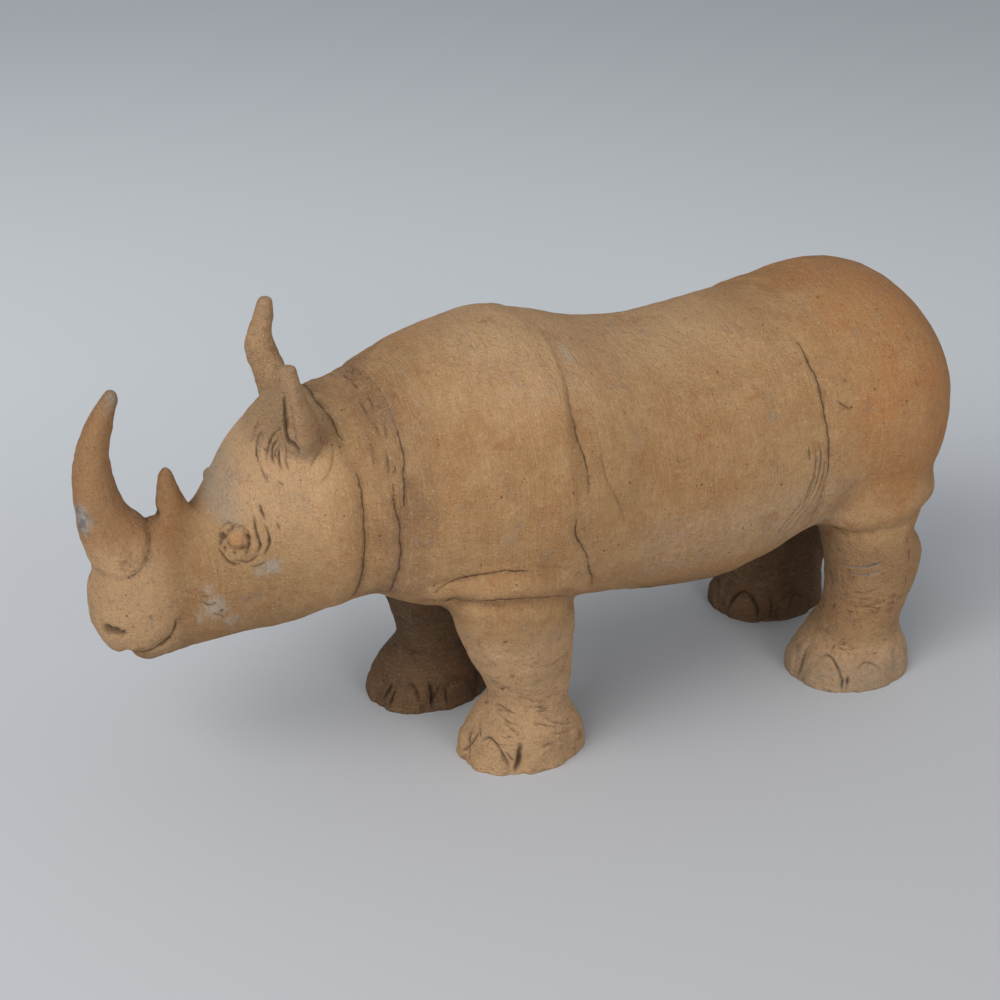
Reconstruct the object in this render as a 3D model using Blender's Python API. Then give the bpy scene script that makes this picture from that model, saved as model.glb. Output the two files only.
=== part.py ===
"""A rhinoceros figurine, modelled by hand in coarse clay and fired in one piece.

The nose points along -Y, the animal's left side is +X and the figurine stands on z = 0.
Each mass of the animal is lofted as the maker would roll it: a barrel, a head, four legs, two
horns, two ears and a tail. The masses are pressed together into one skin, and the folds, eyes,
mouth and toes are then carved into that skin by the small functions further down.
"""

import math

import bmesh
import bpy
import numpy as np

# Length of the figurine, nose to rump, and the grid its clay is pressed together on, in metres
FIGURE_LENGTH = 0.465
CLAY_GRID = 0.0024
TRIANGLE_COUNT = 8200

# The forms below are shares of the length, given in 465ths of it
SHARE = FIGURE_LENGTH / 465

# The head is turned to the animal's right, away from the barrel's own line
HEAD_TURN = math.radians(12)
HEAD_PIVOT = np.array([0.0, -150.0, 0.0])
HEAD_FORWARD = np.array([-math.sin(HEAD_TURN), -math.cos(HEAD_TURN), 0.0])
HEAD_LEFT = np.array([math.cos(HEAD_TURN), -math.sin(HEAD_TURN), 0.0])
UPWARD = np.array([0.0, 0.0, 1.0])

CLAY = dict(colour=(0.47, 0.27, 0.12, 1.0), roughness=0.9)

# Barrel, front to back: y, half width, top, underside
BARREL = [
    (-172, 46, 209, 105),
    (-150, 56, 217, 92),
    (-120, 67, 224, 83),
    (-92, 73, 227, 79),
    (-66, 72, 222, 77),
    (-40, 69, 213, 73),
    (-12, 70, 208, 68),
    (14, 71, 208, 66),
    (42, 69, 210, 71),
    (68, 67, 213, 79),
    (90, 70, 217, 83),
    (110, 72, 217, 83),
    (126, 69, 213, 86),
    (140, 60, 203, 94),
    (151, 45, 189, 106),
    (158, 22, 166, 124),
]

# Head, from inside the neck to the nose: forward of the pivot, half width, top, underside
HEAD = [
    (-14, 46, 202, 104),
    (12, 46, 205, 100),
    (36, 44, 206, 94),
    (54, 41, 204, 88),
    (70, 38, 189, 86),
    (80, 36.5, 174, 85.5),
    (90, 34, 155, 84.5),
    (99, 31, 147, 82),
    (112, 26, 147, 77),
    (122, 24.5, 142, 74.5),
    (131, 23.5, 138, 79),
    (139, 21.5, 131, 82.5),
    (145.5, 15, 120, 93),
    (147.5, 8, 113, 99),
]

# Legs, top to sole: z, y of the middle, half length, x of the middle, half width
FRONT_LEFT_LEG = [
    (128, -110, 33, 38, 30),
    (100, -104, 32, 38, 30),
    (80, -100, 30, 37, 28),
    (60, -96, 26, 35, 25),
    (44, -91, 22, 33, 22),
    (31, -90, 20, 32, 21),
    (20, -92, 27, 31, 25),
    (9, -91.5, 32.5, 29.5, 27),
    (-6, -91.5, 33.5, 29, 27.5),
]
FRONT_RIGHT_LEG = [
    (128, -114, 32, -38, 30),
    (100, -112, 30, -38, 30),
    (80, -112, 28, -39, 27),
    (60, -110, 24, -41, 24),
    (44, -108, 21, -42, 22),
    (31, -107, 20, -43, 21),
    (20, -109, 28, -43, 25),
    (9, -110, 33, -44, 27),
    (-6, -110, 34, -44, 28),
]
HIND_LEFT_LEG = [
    (128, 104, 40, 34, 34),
    (104, 106.5, 36.5, 38, 31),
    (88, 106.5, 24.5, 40, 28),
    (74, 112, 26, 42, 26),
    (60, 113, 25, 42, 24),
    (46, 111, 22.5, 42, 23),
    (34, 108, 21.5, 42, 22),
    (22, 105, 26, 41, 25),
    (10, 103, 33, 41, 29),
    (-6, 103, 34, 41, 30),
]
HIND_RIGHT_LEG = [
    (128, 104, 40, -34, 34),
    (104, 106.5, 37, -37, 31),
    (88, 109, 32, -38, 28),
    (74, 112, 33, -38, 26),
    (60, 113, 33, -38, 24),
    (46, 111, 32, -39, 23),
    (34, 108, 30, -39, 22),
    (22, 105, 30, -39, 24),
    (10, 103, 33, -40, 27),
    (-6, 103, 34, -40, 28),
]

# Each leg, and how many degrees its middle toe is turned from straight ahead
LEGS = [
    (FRONT_LEFT_LEG, 36),
    (FRONT_RIGHT_LEG, 44),
    (HIND_LEFT_LEG, 32),
    (HIND_RIGHT_LEG, 38),
]

# Horns, root to tip, in the head's own plane: forward, z, half thickness, half width
FRONT_HORN = [
    (118, 118, 24, 22),
    (128, 134, 19, 18),
    (137, 152, 12.8, 14),
    (140, 170, 10.2, 11),
    (139.5, 184, 8.4, 9),
    (136.2, 197, 6.8, 7.4),
    (131.5, 208, 5.3, 5.8),
    (126.8, 216, 3.2, 3.8),
]
REAR_HORN = [
    (104, 150, 9, 8),
    (106, 160, 6.5, 6.5),
    (106.5, 169, 4.5, 4.5),
    (106, 175, 2.2, 2.4),
]

# Ears, root to tip: forward, left of the head's plane, z, half thickness, half breadth
LEFT_EAR = [
    (44, 24, 182, 6, 7),
    (46.5, 31, 195, 7, 8),
    (48, 34.5, 207, 7, 8.5),
    (50, 36, 218, 5.5, 6.8),
    (51.5, 37, 228, 4.5, 5),
    (52.3, 37, 236, 3.8, 4.5),
]
RIGHT_EAR = [
    (45.5, -26, 178, 7, 9),
    (47.5, -31, 192, 7.5, 9),
    (50, -34, 204, 6.5, 8.6),
    (53.5, -36, 214, 6, 7.6),
    (52.5, -37, 222, 5.2, 6.8),
    (49.6, -37, 230, 4.4, 5),
    (47.6, -37, 238, 3.2, 3),
]

# Tail, lying against the rump, top to tip: y, z, half thickness
TAIL = [
    (152, 176, 4),
    (159, 164, 6),
    (162, 146, 5.5),
    (161, 128, 5),
    (158, 112, 6),
    (154, 100, 4),
]

# Folds round the barrel: degrees up from the side (90 is the spine), y there, then the depth of
# the cut, the height of the roll beside it and the side the roll is on (1 is behind)
FOLDS = [
    ([-60, 0, 60, 90], [-182, -182, -184, -188], 2.8, 1.6, -1),
    ([-60, 0, 60, 90], [-164, -164, -165, -161], 1.8, 0.8, -1),
    ([-50, 0, 60, 90], [-149, -151, -145, -136], 0.9, 0.4, -1),
    ([-46, 0, 24, 48, 68, 80, 90], [-62, -83, -87, -85, -80, -77, -76], 1.6, 1.5, -1),
    ([-34, -10, 10, 26, 38, 50, 68, 80, 90], [60, 61, 61, 59, 58, 56, 60, 65, 67], 1.8, 1.4, 1),
]

# Roll of skin over each front leg and hem of skin over each hind leg: y, z there
LEG_ROLL = ([-150, -133, -112, -85, -64], [110, 117, 119, 112, 96])
LEG_HEM = ([70, 88, 100, 114, 128], [96, 98, 100, 101, 104])

# Places on the head: forward of the pivot, left of the head's plane, z
EYES = [(79, 35, 150), (84, -34, 152)]
NOSTRIL = (139, 19, 103)
MOUTH = ([107, 110, 118, 126, 133], [110, 99, 91, 87, 84])
EAR_SLIT = [(47, 38, 190), (54, 40, 224)]

# Groove round the foot of the big horn, a ring seen from the side: forward, z, radius
HORN_COLLAR = (135, 145, 18)


def smooth_rows(rows, per_span):
    """The rows, with per_span steps in each gap, on a Catmull-Rom curve through them."""
    rows = np.array(rows, float)
    padded = np.vstack([2 * rows[0] - rows[1], rows, 2 * rows[-1] - rows[-2]])
    t = np.linspace(0, 1, per_span, endpoint=False)[:, None]
    spans = []
    for before, start, end, after in zip(padded, padded[1:], padded[2:], padded[3:]):
        linear = end - before
        square = 2 * before - 5 * start + 4 * end - after
        cube = 3 * start - 3 * end + after - before
        spans.append(start + 0.5 * (linear * t + square * t**2 + cube * t**3))
    return np.vstack([*spans, rows[-1:]])


def skin(rings):
    """Closed tube through the rings, an array of (ring, point, xyz), with a fan at each end."""
    count, around = rings.shape[:2]
    mesh = bmesh.new()
    grid = [[mesh.verts.new(point) for point in ring] for ring in rings]
    for ring, following in zip(grid, grid[1:]):
        for i in range(around):
            j = (i + 1) % around
            mesh.faces.new((ring[i], ring[j], following[j], following[i]))
    for ring, points in ((grid[0], rings[0]), (grid[-1], rings[-1])):
        middle = mesh.verts.new(points.mean(axis=0))
        for i in range(around):
            mesh.faces.new((ring[i], ring[(i + 1) % around], middle))
    bmesh.ops.recalc_face_normals(mesh, faces=mesh.faces)
    return mesh


def circle(around, squareness=2.0):
    """Cosine and sine of a ring's points, squared off as a superellipse past squareness 2."""
    angle = np.linspace(0, 2 * math.pi, around, endpoint=False)
    across, up = np.cos(angle), np.sin(angle)
    power = 2 / squareness
    return np.sign(across) * abs(across) ** power, np.sign(up) * abs(up) ** power


def upright_loft(middles, left, half_width, top, under, squareness):
    """Sections that stand upright across a level path, with their own top and underside."""
    across, up = circle(40, squareness)
    centre_z = (top + under) / 2
    half_height = (top - under) / 2
    rings = middles[:, None, :] + left * (half_width[:, None] * across)[..., None]
    height = centre_z[:, None] + half_height[:, None] * up
    return skin(rings + UPWARD * height[..., None])


def barrel():
    y, half_width, top, under = smooth_rows(BARREL, 4).T
    middles = np.stack([0 * y, y, 0 * y], axis=1)
    return upright_loft(middles, np.array([1.0, 0, 0]), half_width, top, under, 2.15)


def head():
    forward, half_width, top, under = smooth_rows(HEAD, 4).T
    middles = HEAD_PIVOT + forward[:, None] * HEAD_FORWARD
    return upright_loft(middles, HEAD_LEFT, half_width, top, under, 2.2)


def leg(rows):
    """Level sections down one leg, from inside the barrel to below the sole."""
    z, y, half_length, x, half_width = smooth_rows(rows, 4).T
    across, along = circle(32, 2.1)
    rings = np.stack(
        [
            x[:, None] + half_width[:, None] * across,
            y[:, None] + half_length[:, None] * along,
            z[:, None] + 0 * across,
        ],
        axis=2,
    )
    return skin(rings)


def bent_loft(path, side, thickness, breadth, around=20):
    """Sections square to a bent path: breadth along side, thickness across it."""
    tangent = np.gradient(path, axis=0)
    tangent /= np.linalg.norm(tangent, axis=1)[:, None]
    depth = np.cross(tangent, side)
    depth /= np.linalg.norm(depth, axis=1)[:, None]
    cosine, sine = circle(around)
    spread = side * (breadth[:, None] * cosine)[..., None]
    spread = spread + depth[:, None, :] * (thickness[:, None] * sine)[..., None]
    return skin(path[:, None, :] + spread)


def on_head(forward, left, z):
    """Points given in the head's own directions."""
    points = HEAD_PIVOT + forward[:, None] * HEAD_FORWARD + left[:, None] * HEAD_LEFT
    return points + z[:, None] * UPWARD


def horn(rows):
    forward, z, thickness, half_width = smooth_rows(rows, 4).T
    return bent_loft(on_head(forward, 0 * z, z), HEAD_LEFT, thickness, half_width)


def ear(rows):
    forward, left, z, thickness, breadth = smooth_rows(rows, 4).T
    return bent_loft(on_head(forward, left, z), HEAD_FORWARD, thickness, breadth)


def tail():
    y, z, thickness = smooth_rows(TAIL, 4).T
    path = np.stack([0 * y, y, z], axis=1)
    return bent_loft(path, np.array([1.0, 0, 0]), thickness, thickness, 12)


def pressed_together(masses):
    """One object whose closed skin is the outside of all the masses, in metres."""
    joined = bpy.data.meshes.new("rhinoceros")
    whole = bmesh.new()
    for mass in masses:
        mass.to_mesh(joined)
        whole.from_mesh(joined)
        mass.free()
    bmesh.ops.scale(whole, vec=(SHARE, SHARE, SHARE), verts=whole.verts)
    whole.to_mesh(joined)
    whole.free()
    figure = bpy.data.objects.new("rhinoceros", joined)
    bpy.context.scene.collection.objects.link(figure)
    remesh = figure.modifiers.new("clay", "REMESH")
    remesh.mode = "VOXEL"
    remesh.voxel_size = CLAY_GRID
    apply_modifiers(figure)
    return figure


def apply_modifiers(figure):
    """The figure keeps the mesh that its modifiers make."""
    graph = bpy.context.evaluated_depsgraph_get()
    made = bpy.data.meshes.new_from_object(figure.evaluated_get(graph))
    figure.modifiers.clear()
    figure.data = made
    made.name = figure.name


def relaxed(points, edges, share, rounds):
    """Points drawn towards the mean of their neighbours, as a wet thumb smooths clay."""
    ends = np.concatenate([edges, edges[:, ::-1]])
    neighbours = np.bincount(ends[:, 0], minlength=len(points))[:, None]
    for _ in range(rounds):
        total = np.zeros_like(points)
        np.add.at(total, ends[:, 0], points[ends[:, 1]])
        points = points + share * (total / neighbours - points)
    return points


def points_of(mesh, field, collection, width, kind=np.float64):
    values = np.empty(len(collection) * width, kind)
    collection.foreach_get(field, values)
    return values.reshape(-1, width)


def smooth_skin(figure):
    mesh = figure.data
    points = points_of(mesh, "co", mesh.vertices, 3)
    edges = points_of(mesh, "vertices", mesh.edges, 2, np.int32)
    points = relaxed(points, edges, 0.5, 6)
    mesh.vertices.foreach_set("co", points.ravel())
    mesh.update()


def bump(distance, width):
    """1 on the line and next to nothing at twice the width from it."""
    return np.exp(-((distance / width) ** 2))


def fade(value, start, end):
    """0 at the start, 1 at the end, with a soft bend at both."""
    t = np.clip((value - start) / (end - start), 0, 1)
    return t * t * (3 - 2 * t)


def fold_relief(x, y, z):
    around = np.degrees(np.arctan2(z - 145, abs(x)))
    on_barrel = fade(z, 92, 104)
    relief = 0 * x
    for angles, places, cut, roll, side in FOLDS:
        offset = y - np.interp(around, angles, places)
        relief += on_barrel * (roll * bump(offset - side * 8, 8) - cut * bump(offset, 2.6))
    return relief


def leg_skin_relief(x, y, z):
    outer = fade(abs(x), 34, 46)
    offset = z - np.interp(y, *LEG_ROLL)
    along = fade(y, -158, -146) * fade(y, -64, -80) * outer
    relief = along * (2.8 * bump(offset, 6) - 2.2 * bump(offset + 10, 4))
    offset = z - np.interp(y, *LEG_HEM)
    along = fade(y, 70, 82) * fade(y, 150, 132) * outer
    relief += along * (1.2 * bump(offset - 5, 6) - 2.2 * bump(offset + 5, 4))
    return relief


def head_relief(x, y, z):
    points = np.stack([x, y, z], axis=1) - HEAD_PIVOT
    forward = points @ HEAD_FORWARD
    left = points @ HEAD_LEFT
    side = abs(left)
    on_head = fade(forward, 30, 45)

    def near(across, place):
        return np.sqrt((forward - place[0]) ** 2 + (across - place[1]) ** 2 + (z - place[2]) ** 2)

    relief = 0 * x
    for eye in EYES:
        off_eye = near(left, eye)
        relief += 3.4 * bump(off_eye, 5) - 1.2 * bump(off_eye - 9, 2.5)
    relief -= 4 * bump(near(side, NOSTRIL), 3.6)
    line = np.interp(forward, *MOUTH)
    mouth = fade(forward, 103, 108) * fade(forward, 138, 132) * fade(side, 6, 12)
    relief -= 2.4 * mouth * bump(z - line, 2.6)
    relief -= 2.4 * bump(forward - 132, 2.6) * fade(side, 20, 14) * fade(z, 92, 86)
    middle, height, radius = HORN_COLLAR
    ring = np.hypot(forward - middle, z - height) - radius
    relief += fade(z, 156, 146) * (1.0 * bump(ring + 4, 4) - 2.0 * bump(ring, 2.2))
    return relief * on_head


def ear_relief(x, y, z):
    """A slit down the front of each ear, so that it cups."""
    points = np.stack([x, y, z], axis=1) - HEAD_PIVOT
    forward = points @ HEAD_FORWARD
    side = abs(points @ HEAD_LEFT)
    lower, upper = np.array(EAR_SLIT)
    share = np.clip((z - lower[2]) / (upper[2] - lower[2]), -0.2, 1)
    off_front = np.hypot(
        forward - (lower[0] + share * (upper[0] - lower[0])) - 5,
        side - (lower[1] + share * (upper[1] - lower[1])),
    )
    return -4 * bump(off_front, 4) * fade(z, 182, 192) * fade(z, 226, 214)


def toe_relief(x, y, z):
    """Cuts between the toes, and an arched nail on each toe."""
    relief = 0 * x
    for foot, facing in LEGS:
        _, foot_y, half_length, foot_x, half_width = foot[-1]
        turn = np.degrees(np.arctan2((x - foot_x) / half_width, -(y - foot_y) / half_length))
        turn = (turn - facing + 180) % 360 - 180
        reach = np.hypot((x - foot_x) / half_width, (y - foot_y) / half_length)
        on_foot = fade(reach, 1.5, 1.25) * fade(z, 24, 14)
        for cut in (-82, -28, 28, 82):
            relief -= 2.2 * on_foot * bump(turn - cut, 5.5)
        for toe in (-54, 0, 54):
            arch = np.hypot((turn - toe) / 20, (z + 1) / 17)
            relief -= 1.2 * on_foot * bump(arch - 1, 0.14)
    return relief


def carve(figure):
    mesh = figure.data
    points = points_of(mesh, "co", mesh.vertices, 3)
    normals = points_of(mesh, "vector", mesh.vertex_normals, 3)
    shares = (points / SHARE).T
    relief = fold_relief(*shares) + leg_skin_relief(*shares) + head_relief(*shares)
    relief += ear_relief(*shares) + toe_relief(*shares)
    points += normals * relief[:, None] * SHARE
    mesh.vertices.foreach_set("co", points.ravel())
    mesh.update()


def flat_soles(figure):
    """Cuts the feet off flat on z = 0."""
    mesh = bmesh.new()
    mesh.from_mesh(figure.data)
    parts = mesh.verts[:] + mesh.edges[:] + mesh.faces[:]
    bmesh.ops.bisect_plane(
        mesh, geom=parts, plane_co=(0, 0, 0), plane_no=(0, 0, 1), clear_inner=True
    )
    rim = [edge for edge in mesh.edges if edge.is_boundary]
    bmesh.ops.holes_fill(mesh, edges=rim)
    bmesh.ops.triangulate(mesh, faces=mesh.faces)
    bmesh.ops.recalc_face_normals(mesh, faces=mesh.faces)
    mesh.to_mesh(figure.data)
    mesh.free()


def stand_on_origin(figure):
    """Puts the middle of the figurine's outline over the origin, with its soles on z = 0."""
    points = points_of(figure.data, "co", figure.data.vertices, 3)
    middle = (points.min(axis=0) + points.max(axis=0)) / 2
    points[:, :2] -= middle[:2]
    figure.data.vertices.foreach_set("co", points.ravel())
    figure.data.update()


def thin_out(figure):
    """Fewer, larger triangles where the clay is plain."""
    decimate = figure.modifiers.new("thin", "DECIMATE")
    triangles = sum(len(face.vertices) - 2 for face in figure.data.polygons)
    decimate.ratio = TRIANGLE_COUNT / triangles
    apply_modifiers(figure)


def clay_material():
    material = bpy.data.materials.new("fired_clay")
    material.use_nodes = True
    shader = material.node_tree.nodes["Principled BSDF"]
    shader.inputs["Base Color"].default_value = CLAY["colour"]
    shader.inputs["Roughness"].default_value = CLAY["roughness"]
    return material


def main():
    for old in list(bpy.data.objects):
        bpy.data.objects.remove(old)
    masses = [barrel(), head(), tail()]
    masses += [leg(rows) for rows, _ in LEGS]
    masses += [horn(rows) for rows in (FRONT_HORN, REAR_HORN)]
    masses += [ear(rows) for rows in (LEFT_EAR, RIGHT_EAR)]
    figure = pressed_together(masses)
    smooth_skin(figure)
    carve(figure)
    thin_out(figure)
    flat_soles(figure)
    stand_on_origin(figure)
    figure.data.materials.append(clay_material())


main()
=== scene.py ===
# %% [markdown]
# # A rhinoceros in coarse fired clay
#
# The figurine is built by hand from a buff clay full of grit, scraped smooth with a tooth-edged
# tool, drawn into with a point and fired without a glaze. Everything that makes it look real is
# small: a fold that wanders, a crack beside it, grit that shows white or black, grey dust in the
# hollows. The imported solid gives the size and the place; this script makes the finished skin.

# %% The frame
import math

import bmesh
import bpy
import numpy as np
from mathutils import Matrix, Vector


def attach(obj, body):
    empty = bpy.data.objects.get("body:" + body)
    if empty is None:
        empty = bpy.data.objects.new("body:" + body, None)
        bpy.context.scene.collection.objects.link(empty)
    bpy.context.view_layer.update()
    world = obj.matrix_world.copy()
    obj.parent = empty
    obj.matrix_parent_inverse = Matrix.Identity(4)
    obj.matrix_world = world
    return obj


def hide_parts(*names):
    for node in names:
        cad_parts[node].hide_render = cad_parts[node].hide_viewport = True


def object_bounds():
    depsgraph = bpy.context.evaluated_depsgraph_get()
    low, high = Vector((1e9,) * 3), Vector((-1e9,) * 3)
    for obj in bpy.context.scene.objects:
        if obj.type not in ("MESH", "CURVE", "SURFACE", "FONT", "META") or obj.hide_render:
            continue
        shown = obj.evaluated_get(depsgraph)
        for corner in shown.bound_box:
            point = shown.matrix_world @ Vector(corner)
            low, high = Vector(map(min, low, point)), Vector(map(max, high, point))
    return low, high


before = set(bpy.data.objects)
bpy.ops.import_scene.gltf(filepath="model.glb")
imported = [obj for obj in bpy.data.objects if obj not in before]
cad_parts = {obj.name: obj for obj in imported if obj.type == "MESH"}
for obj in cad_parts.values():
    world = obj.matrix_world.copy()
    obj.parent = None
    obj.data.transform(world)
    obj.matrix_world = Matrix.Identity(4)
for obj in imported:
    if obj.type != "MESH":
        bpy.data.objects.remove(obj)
solid_low, solid_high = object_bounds()
print("solid's box in mm:", [round((b - a) * 1000, 1) for a, b in zip(solid_low, solid_high)])

# %% [markdown]
# ## Where it is seen from
#
# A long lens stands a little over a metre off, 28 degrees above the table, and looks at the
# animal's left side from 27 degrees in front of square. The long lens is what keeps the near legs
# from looking much bigger than the far ones.

# %% Camera
AZIMUTH = math.radians(63)
ELEVATION = math.radians(28)
LENS_MM = 79.2
DISTANCE = 1.16
AIM = np.array([-0.0461, -0.0005, 0.10])

backward = np.array(
    [
        math.sin(AZIMUTH) * math.cos(ELEVATION),
        -math.cos(AZIMUTH) * math.cos(ELEVATION),
        math.sin(ELEVATION),
    ]
)
rightward = np.array([math.cos(AZIMUTH), math.sin(AZIMUTH), 0.0])
level_back = np.array([backward[0], backward[1], 0]) / math.cos(ELEVATION)
scene = bpy.context.scene
lens = bpy.data.cameras.new("camera")
lens.lens = LENS_MM
lens.sensor_width = 36
camera = bpy.data.objects.new("camera", lens)
camera.location = AIM + backward * DISTANCE
camera.rotation_euler = (math.pi / 2 - ELEVATION, 0, AZIMUTH)
scene.collection.objects.link(camera)
scene.camera = camera
print("camera stands at", np.round(camera.location, 3))

# %% [markdown]
# ## Soft light from the left
#
# The shadows under the belly are deep but have no edge, so the light comes from wide panels: a
# large one high in front, one close to the head and a low one that reaches the near legs and the
# belly but not the far legs, with a pale sky to fill the rest. Plain Standard colours keep the
# clay as warm as it is painted; a film look would grey it.

# %% Light panels and sky
# Name, place (right, towards the camera, up) and width in metres, watts
PANELS = [
    ("key_panel", (-1.5, 2.3, 2.35), 2.3, 56),
    ("head_panel", (-1.2, 1.0, 1.2), 1.2, 12),
    ("low_panel", (1.3, 2.2, 0.6), 1.4, 27),
]
PANEL_COLOUR = (1.0, 0.975, 0.94)
SKY_COLOUR = (0.95, 0.97, 1.0, 1)
SKY_STRENGTH = 0.45


def light_panel(name, place, width, watts):
    """A square lamp at a place seen from the figure, aimed at the figure."""
    lamp = bpy.data.lights.new(name, "AREA")
    lamp.size = width
    lamp.energy = watts
    lamp.color = PANEL_COLOUR
    holder = bpy.data.objects.new(name, lamp)
    direction = rightward * place[0] + level_back * place[1] + np.array([0, 0, place[2]])
    holder.location = AIM + direction
    holder.rotation_euler = (
        math.atan2(math.hypot(direction[0], direction[1]), direction[2]),
        0,
        math.atan2(direction[1], direction[0]) + math.pi / 2,
    )
    scene.collection.objects.link(holder)


scene.view_settings.view_transform = "Standard"
for panel in PANELS:
    light_panel(*panel)
sky = bpy.data.worlds.new("sky")
sky.use_nodes = True
sky.node_tree.nodes["Background"].inputs["Color"].default_value = SKY_COLOUR
sky.node_tree.nodes["Background"].inputs["Strength"].default_value = SKY_STRENGTH
scene.world = sky

# %% [markdown]
# ## Node helpers
#
# A material is a tree of small nodes. These helpers keep each step of it to one readable line:
# a sum, a soft step between two values, a mix of two tones, a noise. Each works on `tree`, which
# is the tree being built.


# %% Nodes in one line each
def add_node(kind, inputs=(), **settings):
    """A node with its settings, its inputs set or linked by name or number."""
    node = tree.nodes.new(kind)
    for name, value in settings.items():
        setattr(node, name, value)
    for key, value in dict(inputs).items():
        if isinstance(value, bpy.types.NodeSocket):
            tree.links.new(value, node.inputs[key])
        else:
            node.inputs[key].default_value = value
    return node


def maths(operation, first, second=0.0):
    return add_node("ShaderNodeMath", {0: first, 1: second}, operation=operation).outputs[0]


def times(first, second):
    return maths("MULTIPLY", first, second)


def plus(first, second):
    return maths("ADD", first, second)


def spread(value, low_value, high_value, start=0.0, end=1.0, **settings):
    """The low value where the value is at its start, the high one at its end, straight between."""
    limits = {"From Min": start, "From Max": end, "To Min": low_value, "To Max": high_value}
    return add_node("ShaderNodeMapRange", {"Value": value, **limits}, **settings).outputs[0]


def between(value, start, end):
    """0 at the start, 1 at the end, smooth between; the start may be the larger."""
    return spread(value, 0.0, 1.0, start, end, interpolation_type="SMOOTHSTEP")


def noise(place, scale, detail=2.0, roughness=0.5):
    inputs = {"Vector": place, "Scale": scale, "Detail": detail, "Roughness": roughness}
    return add_node("ShaderNodeTexNoise", inputs).outputs[0]


def stretched(place, scale):
    """The place with each axis stretched or squeezed, so that noise on it runs in streaks."""
    return add_node("ShaderNodeMapping", {"Vector": place, "Scale": scale}).outputs[0]


def mixed(share, first, second):
    """The first colour turned into the second by the share."""
    inputs = {0: share, 6: first, 7: second}
    return add_node("ShaderNodeMix", inputs, data_type="RGBA").outputs[2]


def laid_over(colour, layers):
    """Each layer's tone mixed over the colour, by the layer's mask * its share."""
    for mask, share, tone in layers:
        colour = mixed(times(mask, share), colour, tone)
    return colour


def summed(parts):
    """The sum of each pattern * its weight."""
    total = 0.0
    for pattern, weight in parts:
        total = plus(total, times(pattern, weight))
    return total


# %% [markdown]
# ## The table
#
# A sheet of pale paper with painted light and shade: brightest a little behind the animal, darker
# towards the front, a little darker towards the back, where the lamp's light runs out, and a little
# darker towards the right.

# %% Table
PAPER_NEAR = (0.50, 0.52, 0.555, 1)
PAPER_MIDDLE = (0.65, 0.69, 0.73, 1)
PAPER_FAR = (0.49, 0.525, 0.57, 1)
PAPER_SHADE = (0.30, 0.30, 0.31, 1)
PAPER_REACH = 6.0


def paper_table(size):
    """A flat square of 9 by 9 grid points at z = 0."""
    side = np.linspace(-size, size, 9)
    x, y = np.meshgrid(side, side)
    points = np.stack([x, y, 0 * x], axis=-1).reshape(-1, 3)
    corner = (np.arange(8)[:, None] * 9 + np.arange(8)).ravel()
    faces = np.stack([corner, corner + 1, corner + 10, corner + 9], axis=1)
    mesh = bpy.data.meshes.new("table")
    mesh.from_pydata(points.tolist(), [], faces.tolist())
    return bpy.data.objects.new("table", mesh)


def distance_along(place, way):
    """How far a place lies along a way of length 1: their dot product."""
    inputs = {0: place, 1: tuple(way)}
    return add_node("ShaderNodeVectorMath", inputs, operation="DOT_PRODUCT").outputs["Value"]


table = paper_table(PAPER_REACH)
scene.collection.objects.link(table)
paper = bpy.data.materials.new("grey_paper")
paper.use_nodes = True
tree = paper.node_tree
shader = tree.nodes["Principled BSDF"]
shader.inputs["Roughness"].default_value = 0.85
shader.inputs["Specular IOR Level"].default_value = 0.2
place = add_node("ShaderNodeTexCoord").outputs["Object"]
away = distance_along(place, -level_back)
to_right = distance_along(place, rightward)
# Painted light and shade: the paper brightest a little behind the animal, darker towards the front,
# the back and the right
paper_colour = mixed(between(away, -0.1, 0.45), PAPER_NEAR, PAPER_MIDDLE)
paper_colour = mixed(between(away, 0.5, 1.6), paper_colour, PAPER_FAR)
paper_colour = laid_over(paper_colour, [(between(to_right, -0.5, 0.6), 0.2, PAPER_SHADE)])
tree.links.new(paper_colour, shader.inputs["Base Color"])
table.data.materials.append(paper)
print("table:", len(table.data.polygons), "faces")

# %% [markdown]
# ## The masses of the animal
#
# A modeller starts with plain masses: a barrel, a head, four legs. Each is a loft here, which is a
# row of cross-sections carried along a path. Only a few sections are named, and a Catmull-Rom
# curve, which is a smooth curve that passes through every value it is given, fills in the rest.
# The numbers are in millimetres, with the feet's middle as the origin.

# %% Sections of the barrel and the head
# Barrel, front to back: y, half width, top, underside
BARREL = [
    (-172, 46, 209, 105),
    (-150, 56, 217, 92),
    (-120, 67, 224, 83),
    (-92, 73, 227, 79),
    (-66, 72, 222, 77),
    (-40, 69, 213, 73),
    (-12, 70, 208, 68),
    (14, 71, 208, 66),
    (42, 69, 210, 71),
    (68, 67, 213, 79),
    (90, 70, 217, 83),
    (110, 72, 217, 83),
    (126, 69, 213, 86),
    (140, 60, 203, 94),
    (151, 45, 189, 106),
    (158, 22, 166, 124),
]

# Head, from inside the neck to the nose: forward of the pivot, half width, top, underside
HEAD = [
    (-14, 46, 202, 104),
    (12, 46, 205, 100),
    (36, 44, 206, 94),
    (54, 41, 204, 88),
    (70, 38, 189, 86),
    (80, 36.5, 174, 85.5),
    (90, 34, 155, 84.5),
    (99, 31, 147, 82),
    (112, 26, 147, 77),
    (122, 24.5, 142, 74.5),
    (131, 23.5, 138, 79),
    (139, 21.5, 131, 82.5),
    (145.5, 15, 120, 93),
    (147.5, 8, 113, 99),
]

# Height of the line that degrees round the barrel are counted about, and where the chest ends
BARREL_MIDDLE = 145
CHEST_Y = -160

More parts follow.
